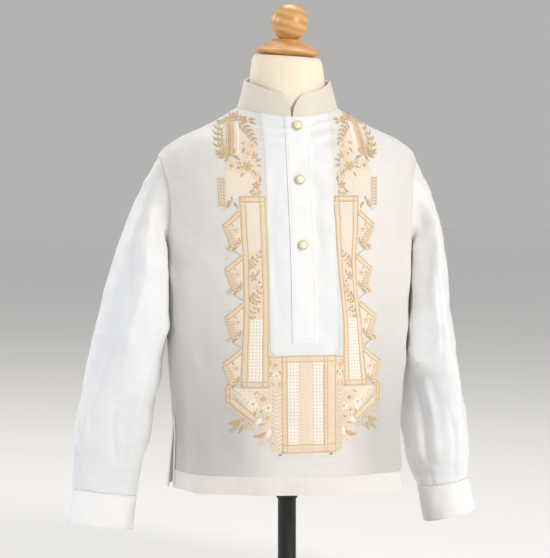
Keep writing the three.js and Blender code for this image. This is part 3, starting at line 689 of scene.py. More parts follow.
def body_point(angle, place, lift=0.0):
    """A point of the shirt's body with its folds, moved out by a lift."""
    point = ring_point(body_sections, angle, place)
    around = ring_point(body_sections, angle + 0.01, place) - ring_point(body_sections, angle - 0.01, place)
    upward = ring_point(body_sections, angle, place + 0.02) - ring_point(body_sections, angle, place - 0.02)
    normal = unit(np.cross(upward, around))
    below_slit = np.clip((slit_top_z - point[..., 2]) / (slit_top_z - hem_z), 0, 1)
    from_edge = np.pi / 2 - np.abs(angle - 1.5 * np.pi)
    flare = np.where(angle > np.pi, slit_flare * below_slit * bell(from_edge * 5), 0)
    x, z = point[..., 0], point[..., 2]
    is_front = np.sin(angle) > 0
    near_side = np.clip(np.abs(np.sin(angle)) * 4, 0, 1)
    small = np.where(is_front, crease_lift(front_creases, x, z), crease_lift(back_creases, x, z))
    small = small + crumple(x + np.where(is_front, 0, 90), z, body_crumple) + ripple(x, z, body_ripple)
    near_neck = np.clip((neck_section - place) / 0.35, 0, 1)
    out = fold_lift(body_folds, np.degrees(angle), z) + flare + small * near_side * near_neck + lift
    return point + normal * out[..., None]


def edge_angle(place, cut, armhole):
    """Angle by which a panel's edge stands back from the side line: the slit and the armhole."""
    ring = between(body_sections, place)
    stand_back = 0.02 + slit_half_gap * np.clip(1 - place / slit_section, 0, 1)
    return armhole * cut + np.arcsin((stand_back / ring["aft"]) ** (ring["square"] / 2))


def panel_rows(lower, armhole, shoulder):
    """Rows of a panel: the places among the sections, and how far the armhole cuts in, from 0 to 1."""
    t = np.linspace(0, 1, armhole + 1)[1:]
    place = np.concatenate([
        np.linspace(0, underarm_section, lower + 1),
        underarm_section + (shoulder_section - underarm_section) * (1 - np.cos(np.pi * t)) / 2,
        np.linspace(shoulder_section, neck_section, shoulder + 1)[1:],
    ])
    cut = np.zeros_like(place)
    cut[lower + 1 : lower + 1 + armhole] = np.sin(np.pi * t)
    return place, cut


lower_steps, armhole_steps, shoulder_steps = 66, 60, 40
places, cuts = panel_rows(lower_steps, armhole_steps, shoulder_steps)
armhole_rows = slice(lower_steps, lower_steps + armhole_steps + 1)


def panel_grid(start, armhole, place, cut, across, lift=0.0):
    """Points of the front, start 0, or of the back, start pi, at shares across it from 0 to 1."""
    edge = edge_angle(place, cut, armhole)[:, None]
    angle = start + edge + (math.pi - 2 * edge) * across
    return body_point(angle, np.broadcast_to(place[:, None], angle.shape), lift)


def cloth_uv(grid, closed=False):
    """Distances over the cloth, in metres, from the middle of its lowest row."""
    if closed:
        grid = np.concatenate([grid, grid[:, :1]], axis=1)
    around = np.linalg.norm(np.diff(grid, axis=1), axis=-1).cumsum(axis=1)
    around = np.concatenate([np.zeros((len(grid), 1)), around], axis=1)
    around -= around[:, around.shape[1] // 2][:, None]
    upward = np.linalg.norm(np.diff(grid, axis=0), axis=-1).cumsum(axis=0)
    upward = np.concatenate([np.zeros((1, grid.shape[1])), upward], axis=0)
    return np.stack([around, upward], axis=-1) * MM


def grid_corners(rows, spans):
    """Row and column of the four corners of every face of a grid."""
    i, j = (a.ravel() for a in np.meshgrid(np.arange(rows - 1), np.arange(spans), indexing="ij"))
    return [(i, j), (i + 1, j), (i + 1, j + 1), (i, j + 1)]


def link(name, points, faces, uvs, finish):
    """A new mesh object from points in millimetres, lists of faces and the UV of each face corner."""
    mesh = bpy.data.meshes.new(name)
    mesh.from_pydata((np.asarray(points) * MM).tolist(), [], faces)
    layer = mesh.uv_layers.new(name="UVMap")
    layer.data.foreach_set("uv", np.asarray(uvs, np.float32).reshape(-1))
    mesh.materials.append(finish)
    mesh.shade_smooth()
    made = bpy.data.objects.new(name, mesh)
    bpy.context.scene.collection.objects.link(made)
    return made


def make_active(made):
    bpy.ops.object.select_all(action="DESELECT")
    made.select_set(True)
    bpy.context.view_layer.objects.active = made


def apply_modifiers(made):
    make_active(made)
    for modifier in list(made.modifiers):
        bpy.ops.object.modifier_apply(modifier=modifier.name)


def round_edges(made, width, sharper_than):
    """Rounds the edges that bend by more than an angle in degrees."""
    edge = made.modifiers.new("edge", "BEVEL")
    edge.width = width * MM
    edge.segments = 2
    edge.limit_method = "ANGLE"
    edge.angle_limit = math.radians(sharper_than)
    apply_modifiers(made)


def finish_piece(made, nodes=()):
    """Rides on the part's one body, and hides the part's own nodes that it stands in for."""
    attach(made, "root")
    if nodes:
        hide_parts(*nodes)
    return made


def cloth_piece(name, grid, finish, wall, closed=False, axis=(0, 0)):
    """A thin shell of cloth from a grid of points on its outer side."""
    rows, columns = grid.shape[:2]
    corners = grid_corners(rows, columns if closed else columns - 1)
    faces = np.stack([a * columns + b % columns for a, b in corners], axis=-1)
    uv = cloth_uv(grid, closed)
    uvs = np.stack([uv[a, b] for a, b in corners], axis=1)
    flat = grid.reshape(-1, 3)
    normal = np.cross(flat[faces[:, 1]] - flat[faces[:, 0]], flat[faces[:, 2]] - flat[faces[:, 0]])
    outward = flat[faces[:, 0]] - np.array([axis[0], axis[1], 0])
    if (normal[:, :2] * outward[:, :2]).sum() < 0:
        faces, uvs = faces[:, ::-1], uvs[:, ::-1]
    made = link(name, flat, faces.tolist(), uvs, finish)
    shell = made.modifiers.new("wall", "SOLIDIFY")
    shell.thickness = wall * MM
    shell.offset = -1
    apply_modifiers(made)
    bpy.ops.object.shade_smooth_by_angle(angle=math.radians(50))
    return made


# The shirt's body, and the walls of all its pieces
jusi_wall, hem_wall, seam_wall, bib_wall = 0.7, 0.45, 0.4, 0.4
placket_wall, collar_wall, cuff_wall = 1.0, 1.8, 2.0
front_across = np.linspace(0, 1, 161)[None, :]
back_across = np.linspace(0, 1, 121)[None, :]
front_grid = panel_grid(0, armhole_front, places, cuts, front_across)
back_grid = panel_grid(math.pi, armhole_back, places, cuts, back_across)
shirt_front = cloth_piece("shirt_front", front_grid, jusi_over_form, jusi_wall)
shirt_back = cloth_piece("shirt_back", back_grid, jusi_over_form, jusi_wall)
finish_piece(shirt_front, ["front"])
finish_piece(shirt_back, ["back"])


# Sleeves: the cap leaves the armhole on a curve, and the rest follows the sleeve's sections
sleeve_cap_rows, sleeve_rows = 43, 161
sleeve_middle_x, sleeve_middle_y = 185, 8
armhole_inset, armhole_sink = 1.2, 0.55
gathers_low, gathers_height = 128, 52
# Where a sleeve lies against the side: up to a height, fading in and out, and over part of the depth
press_top, press_fade_low, press_fade_high, press_half_depth, press_depth_fade = 452, 40, 30, 24, 22
press_share, press_gap = 0.85, 0.9


def sleeve_point(rows, side, bearing, place, lift=0.0):
    """Point of a sleeve's or cuff's section: bearing 0 is away from the body, 90 degrees to the front."""
    ring = between(rows, place)
    turn = np.radians(ring["turn"])
    major = (ring["major"] + lift) * np.cos(bearing - turn)
    minor = (ring["minor"] + lift) * np.sin(bearing - turn)
    outward = major * np.cos(turn) - minor * np.sin(turn)
    forward = major * np.sin(turn) + minor * np.cos(turn)
    rise = outward * np.tan(np.radians(ring["slope"]))
    return np.stack([side * (ring["x"] + outward), ring["y"] - forward, ring["z"] + rise], axis=-1)


def sleeve_skin(sleeve, bearing, place):
    z = between(sleeve["sections"], place)["z"]
    lift = fold_lift(sleeve["folds"], np.degrees(bearing), z, both_ends=True)
    return sleeve_point(sleeve["sections"], sleeve["side"], bearing, place, lift)


def armhole_edge(side):
    """The armhole's edge, from the shoulder tip by the front, and the way into the hole."""
    place = places[armhole_rows]
    cut = np.sin(np.pi * np.linspace(0, 1, armhole_steps + 1))
    front_angle = edge_angle(place, cut, armhole_front)[::-1]
    back_angle = -edge_angle(place, cut, armhole_back)
    angle = np.concatenate([front_angle, back_angle[1:-1]])
    place = np.concatenate([place[::-1], place[1:-1]])
    angle = angle if side > 0 else math.pi - angle
    angle = angle % (2 * math.pi)
    outer, inner = body_point(angle, place), body_point(angle, place, -armhole_inset)
    hole = body_point(np.array([0.0 if side > 0 else math.pi]), np.array([armhole_middle_section]))
    normal = unit(outer - inner)
    inward = hole - outer
    inward = unit(inward - normal * (inward * normal).sum(-1, keepdims=True))
    return outer, normal, inward


def pressed_to_body(grid, bearing, side, low, high):
    """Lays a sleeve's inner side against the shirt's side, between two heights."""
    x, y, z = grid[..., 0] * side, grid[..., 1], grid[..., 2]
    tries = np.linspace(0, underarm_section, 601)
    place = np.interp(z, between(body_sections, tries)["side_z"], tries)
    ring = between(body_sections, place)
    depth = np.where(y < 0, ring["fore"], ring["aft"])
    share = np.clip(np.abs(y) / depth, 0, 0.98)
    body_x = ring["wide"] * (1 - share ** ring["square"]) ** (1 / ring["square"])
    near = smooth(np.clip((z - low) / press_fade_low, 0, 1))
    near *= smooth(np.clip((high - z) / press_fade_high, 0, 1))
    near *= 1 - smooth(np.clip((np.abs(y) - press_half_depth) / press_depth_fade, 0, 1))
    near *= np.clip(-1.8 * np.cos(bearing), 0, 1)[None, :]
    gap = x - body_x
    made = grid.copy()
    made[..., 0] = side * (body_x + gap - near * press_share * (gap - press_gap).clip(0, None))
    return made


def sleeve_grid(sleeve, creases, gathers, press_low):
    side = sleeve["side"]
    outer, normal, inward = armhole_edge(side)
    columns = len(outer)
    bearing = 2 * math.pi * np.arange(columns) / columns
    level = np.zeros_like(bearing)
    start = outer - inward * armhole_inset - normal * armhole_sink
    end = sleeve_skin(sleeve, bearing, level)
    beyond = sleeve_skin(sleeve, bearing, level + 0.2)
    across = (np.sin(bearing) ** 2)[:, None]
    under = ((1 - np.cos(bearing)) / 2)[:, None]
    leave = unit(inward * (1 - 0.75 * across) + np.array([side, 0, 0]) * (0.3 + 0.6 * across + 0.3 * under)
                 + np.array([0, 0, -0.5]) * across)
    reach = 0.36 * np.linalg.norm(end - start, axis=-1, keepdims=True)
    p1 = start + leave * reach
    p2 = end - unit(beyond - end) * reach
    t = np.linspace(0, 1, sleeve_cap_rows)[:-1, None, None]
    cap = (1 - t) ** 3 * start + 3 * (1 - t) ** 2 * t * p1 + 3 * (1 - t) * t**2 * p2 + t**3 * end
    last = len(sleeve["sections"]["z"]) - 1
    place = np.linspace(0, last, sleeve_rows)[:, None] * np.ones(columns)
    lower = sleeve_skin(sleeve, bearing[None, :] * np.ones_like(place), place)
    grid = pressed_to_body(np.concatenate([cap, lower]), bearing, side, press_low, press_top)
    # Small creases, gathers above the cuff and the cloth's slight unevenness, all along the normal
    along = np.gradient(grid, axis=0)
    around = np.roll(grid, -1, axis=1) - np.roll(grid, 1, axis=1)
    out = unit(np.cross(around, along)) * side
    degrees = np.degrees(bearing)[None, :] * np.ones((len(grid), 1))
    x, z = degrees * mm_a_degree, grid[..., 2]
    lift = crease_lift(creases, x, z) + crumple(x + 40 * side, z, sleeve_crumple)
    lift = lift + ripple(x, z, sleeve_ripple)
    above_cuff = np.clip((z - gathers_low) / gathers_height, 0, 1)
    turn = np.radians(degrees)
    wave = np.sin(turn * 13 + 1.1 * np.sin(turn * 3)) + 0.5 * np.sin(turn * 21 + 0.6)
    lift = lift + gathers * wave * np.exp(-above_cuff * 4.2) * np.clip(above_cuff * 14, 0, 1)
    row = np.arange(len(grid))[:, None]
    fade = np.clip(row / 8, 0, 1) * np.clip((len(grid) - 1 - row) / 5, 0, 1)
    return grid + out * (lift * fade)[..., None]


for hand, creases, gathers, press_low in (
    ("right", right_sleeve_creases, 0.35, 300),
    ("left", left_sleeve_creases, 0.5, 262),
):
    grid = sleeve_grid(sleeves[hand], creases, gathers, press_low)
    centre = (sleeves[hand]["side"] * sleeve_middle_x, sleeve_middle_y)
    made = cloth_piece(f"shirt_sleeve_{hand}", grid, jusi, jusi_wall, closed=True, axis=centre)
    finish_piece(made, [f"sleeve_{hand}"])

# Stitches: short raised ribbons of thread, laid along lines on the cloth
stitch_points, stitch_faces, stitch_uvs = [], [], []
stitch_spacing, stitch_length, stitch_width = 2.6, 1.9, 0.55
stitch_u, stitch_v = 0.8 * MM, 0.4 * MM


def stitch_line(line, normals, height=0.28):
    """Machine stitches along a line of points, with the cloth's normals at them."""
    step = np.linalg.norm(np.diff(line, axis=0), axis=-1)
    along = np.concatenate([[0], step.cumsum()])
    count = int(along[-1] // stitch_spacing)
    half, quarter = stitch_length / 2, stitch_length / 4
    for k in range(count):
        at = stitch_spacing * (k + 0.5)
        ends = []
        for where in (at - half, at - quarter, at + quarter, at + half):
            ends.append(np.array([np.interp(where, along, line[:, c]) for c in range(3)]))
        up = unit(np.array([np.interp(at, along, normals[:, c]) for c in range(3)]))
        forward = unit(ends[3] - ends[0])
        side = np.cross(up, forward)
        first = len(stitch_points)
        for n, centre in enumerate(ends):
            tall = 0.0 if n in (0, 3) else height
            out = side * (stitch_width / 2 * (0.7 if n in (0, 3) else 1))
            stitch_points.extend([centre - out, centre + up * tall, centre + out])
        for n in range(3):
            low, high = n * stitch_u, n * stitch_u + stitch_u
            for c in range(2):
                a = first + n * 3 + c
                stitch_faces.append((a, a + 3, a + 4, a + 1))
                stitch_uvs.extend([(low, 0), (high, 0), (high, stitch_v), (low, stitch_v)])


def grid_line_normals(grid, pick, axis):
    """Points and outward normals along one row, axis 1, or one column, axis 0, of a grid."""
    du, dv = np.gradient(grid, axis=1), np.gradient(grid, axis=0)
    normal = unit(np.cross(dv, du))
    if axis == 1:
        return grid[pick], normal[pick]
    return grid[:, pick], normal[:, pick]


# Hems: the folded bands at the lower edge, along the slits, and the felled seams at the armholes
hem_height = 24
first_section_height = body_sections["side_z"][1] - body_sections["side_z"][0]
hem_places = np.linspace(0, hem_height / first_section_height, 7)
slit_places = np.linspace(0.02, 2.12, 30)
slit_shares, seam_shares = (0.0, 0.004, 0.009, 0.014, 0.018), (0.0, 0.004, 0.009, 0.013)
hem_pieces = {"front": [], "back": []}


def band(name, face, place, cut, across, lift, finish, wall):
    """A strip of cloth on a panel, lifted from it."""
    start, armhole = (0, armhole_front) if face == "front" else (math.pi, armhole_back)
    grid = panel_grid(start, armhole, place, cut, across, lift)
    made = finish_piece(cloth_piece(name, grid, finish, wall))
    hem_pieces[face].append(made)
    return grid


def edge_bands(label, face, place, cut, shares, lift, finish, wall, stitch_column, stitch_lift):
    """Strips along both side edges of a panel, each with a row of stitches near its inner edge."""
    for end, edge, inward in (("a", 0, 1), ("b", 1, -1)):
        across = np.sort(edge + np.array(shares) * inward)[None, :]
        grid = band(f"{label}_{face}_{end}", face, place, cut, across, lift, finish, wall)
        line, normals = grid_line_normals(grid, stitch_column if edge else -1 - stitch_column, 0)
        stitch_line(line + normals * stitch_lift, normals)


for face in ("front", "back"):
    grid = band(f"hem_{face}", face, hem_places, 0 * hem_places, front_across, 0.5, hem_jusi, hem_wall)
    line, normals = grid_line_normals(grid, -1, 1)
    stitch_line(line - np.array([0, 0, 1.2]), normals)
    edge_bands("slit_hem", face, slit_places, 0 * slit_places, slit_shares, 1.0, hem_jusi, hem_wall, 0, 0)
    edge_bands("felled_seam", face, places[armhole_rows], cuts[armhole_rows], seam_shares, 0.42,
               jusi_over_form, seam_wall, 1, 0.05)


# Cuffs: two plies and a stiffener, with stitching along both edges
round_columns = 96


def cuff_grid(cuff, side, rows):
    bearing = (2 * math.pi * np.arange(round_columns) / round_columns)[None, :] * np.ones((len(rows), 1))
    place = np.array(rows)[:, None] * np.ones_like(bearing)
    soft = 0.25 * np.sin(bearing * 5 + place * 2) + 0.2 * np.sin(bearing * 9 - place * 3 + 1)
    return sleeve_point(cuff, side, bearing, place, soft)


for hand in ("right", "left"):
    side, cuff = sleeves[hand]["side"], sleeves[hand]["cuff"]
    grid = cuff_grid(cuff, side, np.linspace(0, 2, 15))
    centre = (side * cuff["x"][1], cuff["y"][1])
    made = cloth_piece(f"shirt_cuff_{hand}", grid, faced_jusi, cuff_wall, closed=True, axis=centre)
    round_edges(made, 0.5, 50)
    finish_piece(made, [f"cuff_{hand}"])
    for place in (0.12, 1.88):
        ring = cuff_grid(cuff, side, [place - 0.02, place, place + 0.02])
        line, normals = grid_line_normals(np.concatenate([ring, ring[:, :1]], axis=1), 1, 1)
        stitch_line(line, -normals * side)


# Collar: a stand that leans in a little, with rounded ends that meet beside the centre front
collar_gap, collar_corner, collar_split = math.radians(0.9), math.radians(19), math.radians(95)
collar_height, collar_front_drop = 31.5, 5
side_lean, front_lean, back_lean = 8.5, 5, 0.5


def collar_grid(rows, columns):
    t = np.array(rows)[:, None]
    gap = collar_gap + collar_corner * (1 - np.sqrt(np.clip(1 - t * t, 0, 1)))
    angle = collar_split + gap + (2 * math.pi - 2 * gap) * np.array(columns)[None, :]
    forward = np.sin(angle)
    t = t * np.ones_like(angle)
    depth = np.where(forward > 0, neck["fore"], neck["aft"])
    middle_z = np.where(forward > 0, neck["front_z"], neck["back_z"])
    lean = np.where(forward > 0, front_lean, back_lean)
    height = collar_height - collar_front_drop * np.maximum(forward, 0) ** 2
    degrees = np.degrees(angle)
    wave = 0.5 * np.sin(degrees * 0.09) * np.sin(np.pi * t)
    wave = wave + 0.35 * bell((t - 0.55) / 0.12) * np.sin(degrees * 0.05)
    return np.stack([
        (neck["wide"] - side_lean * t + wave) * np.cos(angle),
        -(depth - lean * t + wave) * forward,
        neck["side_z"] + (middle_z - neck["side_z"]) * forward**2 + 0.1 + (height + 0.25) * t,
    ], axis=-1)


collar_rows = np.sin(np.linspace(0, math.pi / 2, 19))
collar_columns = np.linspace(0, 1, 181)
shirt_collar = cloth_piece("shirt_collar", collar_grid(collar_rows, collar_columns), collar_jusi, collar_wall)
round_edges(shirt_collar, 0.5, 50)
finish_piece(shirt_collar, ["collar"])
for row in (0.07, 0.9):
    grid = collar_grid([row - 0.03, row, row + 0.03], np.linspace(0.012, 0.988, 181))
    stitch_line(*grid_line_normals(grid, 1, 1))


# Bib and placket: panels that lie on the front
overlay_rows = 190


def front_place_at(z):
    """Place among the body's sections where the front's middle line is at a height."""
    tries = np.linspace(0, neck_section, 2401)
    return np.interp(z, between(body_sections, tries)["front_z"], tries)


def front_point(x, place, lift):
    ring = between(body_sections, place)
    return body_point(np.arccos(signed_power(x / ring["wide"], ring["square"] / 2)), place, lift)


def overlay_grid(half_width, bottom_z, corner, lift, columns):
    """Points of a strip with rounded lower corners, from its foot up to the neck seam."""
    rise = np.concatenate([corner * (1 - np.cos(np.linspace(0, math.pi / 2, 9)[:-1])), [corner]])
    place = front_place_at(bottom_z + rise)
    place = np.concatenate([place, np.linspace(place[-1], neck_section, overlay_rows)[1:]])
    rise = np.concatenate([rise, np.full(overlay_rows - 1, corner)])
    cut = corner - np.sqrt(np.maximum(corner**2 - (corner - rise) ** 2, 0))
    x = (half_width - cut)[:, None] * np.linspace(-1, 1, columns)[None, :]
    return front_point(x, place[:, None] * np.ones_like(x), lift)


bib_grid = overlay_grid(half_width=40, bottom_z=302, corner=11, lift=0.5, columns=61)
bib = finish_piece(cloth_piece("bib_panel", bib_grid, faced_jusi, bib_wall), ["bib"])
placket_grid = overlay_grid(half_width=14.5, bottom_z=316, corner=1, lift=1.7, columns=25)
placket = cloth_piece("button_placket", placket_grid, faced_jusi, placket_wall)
finish_piece(placket, ["placket"])
overlay_stitches = table("half_width bottom_z corner lift", [
    (38.2, 303.8, 9.4, 0.5), (12.4, 318.2, 1, 1.7), (12.4, 321.5, 1, 1.7),
])
for half_width, bottom, corner, lift in zip(*overlay_stitches.values()):
    grid = overlay_grid(half_width, bottom, corner, lift, 41)
    for pick, axis in ((0, 0), (-1, 0), (0, 1)):
        line, normals = grid_line_normals(grid, pick, axis)
        stitch_line(line, -normals if normals[20, 1] > 0 else normals, height=0.16)

# Embroidery: strokes in the front view, each point x, z and its height above the cloth, one list a thread
work = {name: [] for name in (
    "gold", "champagne", "olive", "russet", "slate", "cream", "net", "open", "lace", "rib")}


def ribbon(thread, path, width, height=0.5, mirror=True):
    """A domed ribbon of satin stitch along a path. width is one number or one a point."""
    path = np.array(path, float)
    width = np.broadcast_to(np.asarray(width, float), len(path)).copy()
    run = unit(np.gradient(path, axis=0))
    aside = np.stack([-run[:, 1], run[:, 0]], axis=-1)
    shares = np.array([-0.5, -0.36, 0, 0.36, 0.5])
    rises = np.array([0.05, 0.75, 1.0, 0.75, 0.05]) * height
    along = np.concatenate([[0], np.linalg.norm(np.diff(path, axis=0), axis=-1).cumsum()])
    flat = path[:, None, :] + aside[:, None, :] * (shares[None, :] * width[:, None])[..., None]
    heights = rises[None, :] * np.clip(width / width.max(), 0.25, 1)[:, None]
    flat = np.concatenate([flat[:1], flat, flat[-1:]])
    heights = np.concatenate([heights[:1] * 0, heights, heights[-1:] * 0])
    along = np.concatenate([along[:1] - 0.2, along, along[-1:] + 0.2])
    points = np.concatenate([flat, heights[..., None]], axis=-1)
    uv = np.stack([along[:, None] * np.ones(5), shares * width.max() * np.ones((len(along), 1))], axis=-1)
    put(thread, points, uv, mirror)


# The cloth's pull moves the work aside, in millimetres out from the middle, at three distances from it:
# the block's edge, the frame's inner side and its outer side. Each grows between two of the steps.
pull_steps = (20, 27, 42, 72)
PULL = "z block inner outer"
pull_right = table(PULL, [
    (190, 0, 0, 2), (269, 0, 0.6, 2), (317, 0, 0.6, 0), (352, 0, 0, -2), (411, 0, 0, -2), (447, 0, 0, -1),
    (487, 0, 0, 0), (520, 0, 0, 0),
])
pull_left = table(PULL, [
    (190, 11, 2, 6), (240, 11, 4, 6), (266, 11, 6, 5), (300, 11, 6, 1), (339, 3, 6, -2), (375, 0, 3, -7),
    (410, 0, 0, -8), (446, 0, -1, -4), (487, 0, -2, -1), (520, 0, 0, 0),
])


def pulled(points):
    """Points of the chart, moved aside with the cloth."""
    made = points.copy()
    out = np.abs(points[..., 0])
    block, inner, outer = (
        np.where(points[..., 0] < 0, np.interp(points[..., 1], pull_right["z"], pull_right[name]),
                 np.interp(points[..., 1], pull_left["z"], pull_left[name]))
        for name in ("block", "inner", "outer"))
    grown = [np.clip((out - a) / (b - a), 0, 1) for a, b in zip(pull_steps, pull_steps[1:])]
    move = block * grown[0] + (inner - block) * grown[1] + (outer - inner) * grown[2]
    made[..., 0] = points[..., 0] + np.sign(points[..., 0]) * move
    return made


def put(thread, points, uv, mirror=True):
    """Adds a stroke to its thread's list, on both sides of the front or as it is."""
    if not mirror:
        work[thread].append((points, uv * MM))
        return
    work[thread].append((pulled(points), uv * MM))
    work[thread].append((pulled(points * np.array([-1, 1, 1])), uv * MM))


def line_points(points, count):
    """A polyline with points added evenly between the given ones."""
    points = np.array(points, float)
    t = np.linspace(0, len(points) - 1, count)
    return np.stack([np.interp(t, np.arange(len(points)), points[:, c]) for c in range(2)], axis=-1)


def curve_points(points, count):
    """A smooth curve through the given points."""
    points = np.array(points, float)
    t = np.linspace(0, len(points) - 1, count)
    made = between({"x": points[:, 0], "z": points[:, 1]}, t)
    return np.stack([made["x"], made["z"]], axis=-1)


def leaf(thread, x, z, turn, length, width, bow=0.12):
    """A pointed leaf from its stalk at x, z. turn is its direction in degrees, 0 along +X and 90 up."""
    t = np.linspace(0, 1, 8)
    a = math.radians(turn)
    bend = bow * length * np.sin(np.pi * t)
    path = np.stack([x + t * length * math.cos(a) - bend * math.sin(a),
                     z + t * length * math.sin(a) + bend * math.cos(a)], axis=-1)
    ribbon(thread, path, width * (0.12 + 0.88 * np.sin(np.pi * t**0.8)), 0.7)


def sprig(thread, points, leaves, length, width, stem=0.9, spread=48):
    """A stem with leaves in pairs."""
    path = curve_points(points, 2 * leaves + 2)
    ribbon(thread, path, stem, 0.4)
    run = np.gradient(path, axis=0)
    for k in range(leaves):
        at = path[2 * k + 1]
        heading = math.degrees(math.atan2(run[2 * k + 1, 1], run[2 * k + 1, 0]))
        small = 1 - 0.35 * k / leaves
        leaf(thread, at[0], at[1], heading + spread, length * small, width * small)
        leaf(thread, at[0], at[1], heading - spread, length * small, width * small, bow=-0.12)
    leaf(thread, path[-1, 0], path[-1, 1], heading, length * 0.7, width * 0.7)


def knot(thread, x, z, radius, height=0.9):
    """A small round knot of thread."""
    turn = np.linspace(0, 2 * math.pi, 11)
    rings = [(1.0, 0.05), (0.85, 0.6), (0.45, 0.95), (0.02, 1.0)]
    points = np.stack([np.stack([x + radius * r * np.cos(turn), z + radius * r * np.sin(turn),
                                 np.full_like(turn, height * h)], axis=-1) for r, h in rings])
    uv = np.stack([np.broadcast_to(turn * radius, points.shape[:2]),
                   np.broadcast_to(np.array([[0], [1], [2], [3]]) * radius / 3, points.shape[:2])], axis=-1)
    put(thread, points[::-1], uv[::-1])


def flower(thread, x, z, radius, petals, heart="olive", start=0.0):
    """A ring of short leaves round a knot."""
    for k in range(petals):
        turn = start + 360 * k / petals
        a = math.radians(turn)
        leaf(thread, x + 0.2 * radius * math.cos(a), z + 0.2 * radius * math.sin(a), turn, radius * 0.85,
             radius * 0.62)
    knot(heart, x, z, radius * 0.24)


def rectangle(left, right, low, high):
    return [(left, low), (right, low), (right, high), (left, high)]


def patch(thread, corners, across, upward, height, turned=False, mirror=True):
    """A flat four-sided ground, from its corners: lower left, lower right, upper right and upper left."""
    a, b, c, d = (np.array(p, float) for p in corners)
    s = np.linspace(0, 1, across + 1)[None, :, None]
    t = np.linspace(0, 1, upward + 1)[:, None, None]
    flat = (1 - t) * ((1 - s) * a + s * b) + t * ((1 - s) * d + s * c)
    uv = flat.copy()
    if turned:
        uv = np.stack([flat[..., 0] + flat[..., 1], flat[..., 1] - flat[..., 0]], axis=-1) * 0.7
    heights = np.full(flat.shape[:2] + (1,), height)
    heights[0] = heights[-1] = 0.02
    heights[:, 0] = heights[:, -1] = 0.02
    put(thread, np.concatenate([flat, heights], axis=-1), uv, mirror)


def border(points, width, count, mirror=True):
    """A wide champagne band of satin stitch, with a gold cord along each edge."""
    path = line_points(points, count)
    ribbon("champagne", path, width, 0.3, mirror)
    run = unit(np.gradient(path, axis=0))
    aside = np.stack([-run[:, 1], run[:, 0]], axis=-1)
    for share in (-0.42, 0.42):
        ribbon("gold", path + aside * width * share, 1.7, 0.5, mirror)


# Tall frame beside the bib: its borders lie between 42 and 72 mm from the middle
frame_outer, frame_inner, frame_top, frame_foot = -72.0, -42.0, 487.0, 265.5
border([(frame_outer + 3.4, frame_top), (frame_outer + 3.4, frame_foot)], 6.8, 60)
border([(frame_inner - 3.5, frame_top), (frame_inner - 3.5, frame_foot)], 7.0, 60)
border([(-71.0, frame_top - 3.2), (-43.0, frame_top - 3.2)], 6.4, 10)
border([(-71.0, frame_foot + 3.3), (-43.0, frame_foot + 3.3)], 6.6, 10)


def frame_patch(thread, low, high, height, turned=False):
    patch(thread, rectangle(-65.4, -48.8, low, high), 8, int((high - low) / 2.5), height, turned)


frame_patch("net", 424, 480, 0.3, turned=True)
frame_patch("rib", 344, 424, 0.26)
frame_patch("open", 272, 344, 0.3)
sprig("olive", [(-64.5, 407), (-58, 412), (-51.5, 421)], 4, 7.2, 2.8, spread=56)
leaf("olive", -63, 414, 40, 6.5, 2.6)
flower("slate", -60, 394, 5.8, 5, "olive", 18)
leaf("olive", -55, 396, 62, 7.0, 2.8)
leaf("russet", -63, 402, 100, 5.0, 2.4)
knot("slate", -53, 388, 1.7)
flower("champagne", -56, 383, 4.8, 5, "gold")
sprig("olive", [(-64.5, 365), (-58, 370), (-51.5, 380)], 4, 7.4, 2.9, spread=56)
leaf("olive", -63, 372, 42, 6.5, 2.6)
sprig("olive", [(-62, 344), (-61, 353), (-57, 361)], 3, 6.2, 2.5)
leaf("russet", -54, 352, 80, 7.0, 3.0)
knot("russet", -53, 365, 1.6)

# Over the frame: bar, pale strip, sprigs and flowers up to the collar
border([(-76.4, 574), (-81.3, 534)], 8.0, 22)
ribbon("russet", line_points([(-76.4, 573.5), (-81.3, 534.5)], 22), 4.8, 0.7)
patch("rib", [(-76.5, 535), (-66.5, 535), (-64.5, 570), (-72, 573)], 6, 14, 0.26)
ribbon("cream", line_points([(-68.5, 571), (-71.2, 535)], 20), 2.4, 0.6)
sprig("olive", [(-88.5, 536), (-92, 548), (-91, 560), (-87, 570)], 5, 8.6, 3.6, 1.1)
sprig("gold", [(-86.5, 538), (-88.5, 550), (-86, 562)], 4, 5.0, 2.2, 0.9)
leaf("olive", -85, 538.5, 186, 12.5, 4.4)
leaf("olive", -86, 535.5, 200, 9.5, 3.6)
leaf("olive", -83, 535, 240, 9.0, 3.6)
leaf("olive", -77, 534, 325, 9.0, 3.8)
leaf("olive", -76, 537, 62, 7.5, 3.2)
sprig("olive", [(-66, 573), (-60, 567), (-55, 559), (-51, 551)], 5, 8.0, 3.1, 1.0)
leaf("gold", -60, 559, 300, 7.5, 3.0)
flower("russet", -69, 579.5, 6.0, 6, "olive")
flower("russet", -60.5, 577, 5.2, 5, "gold", 30)
flower("gold", -75.5, 577.5, 4.2, 5, "russet", 10)
leaf("olive", -76, 577, 186, 12.0, 3.8)
leaf("russet", -80, 574.5, 196, 8.0, 3.0)
leaf("olive", -55, 576, 5, 8.5, 3.4)
leaf("olive", -55, 573.5, 340, 8.0, 3.2)
leaf("gold", -64, 582, 70, 5.0, 2.6)
patch("lace", [(-66, 514), (-50, 514), (-49.5, 549), (-61, 563)], 8, 18, 0.22)
flower("champagne", -54.5, 546, 6.0, 6, "gold")
flower("champagne", -60, 537, 5.6, 6, "russet", 20)
flower("gold", -52.5, 534.5, 5.0, 5, "olive", 8)
leaf("gold", -62, 551, 200, 6.5, 2.8)
leaf("russet", -63.5, 544, 240, 7.5, 3.0)
leaf("slate", -50.5, 527, 25, 7.5, 3.2)
leaf("slate", -51, 523, 350, 7.0, 3.0)
flower("champagne", -80, 523, 7.0, 6, "olive", 15)
flower("champagne", -70.5, 526, 5.0, 5, "gold", 40)
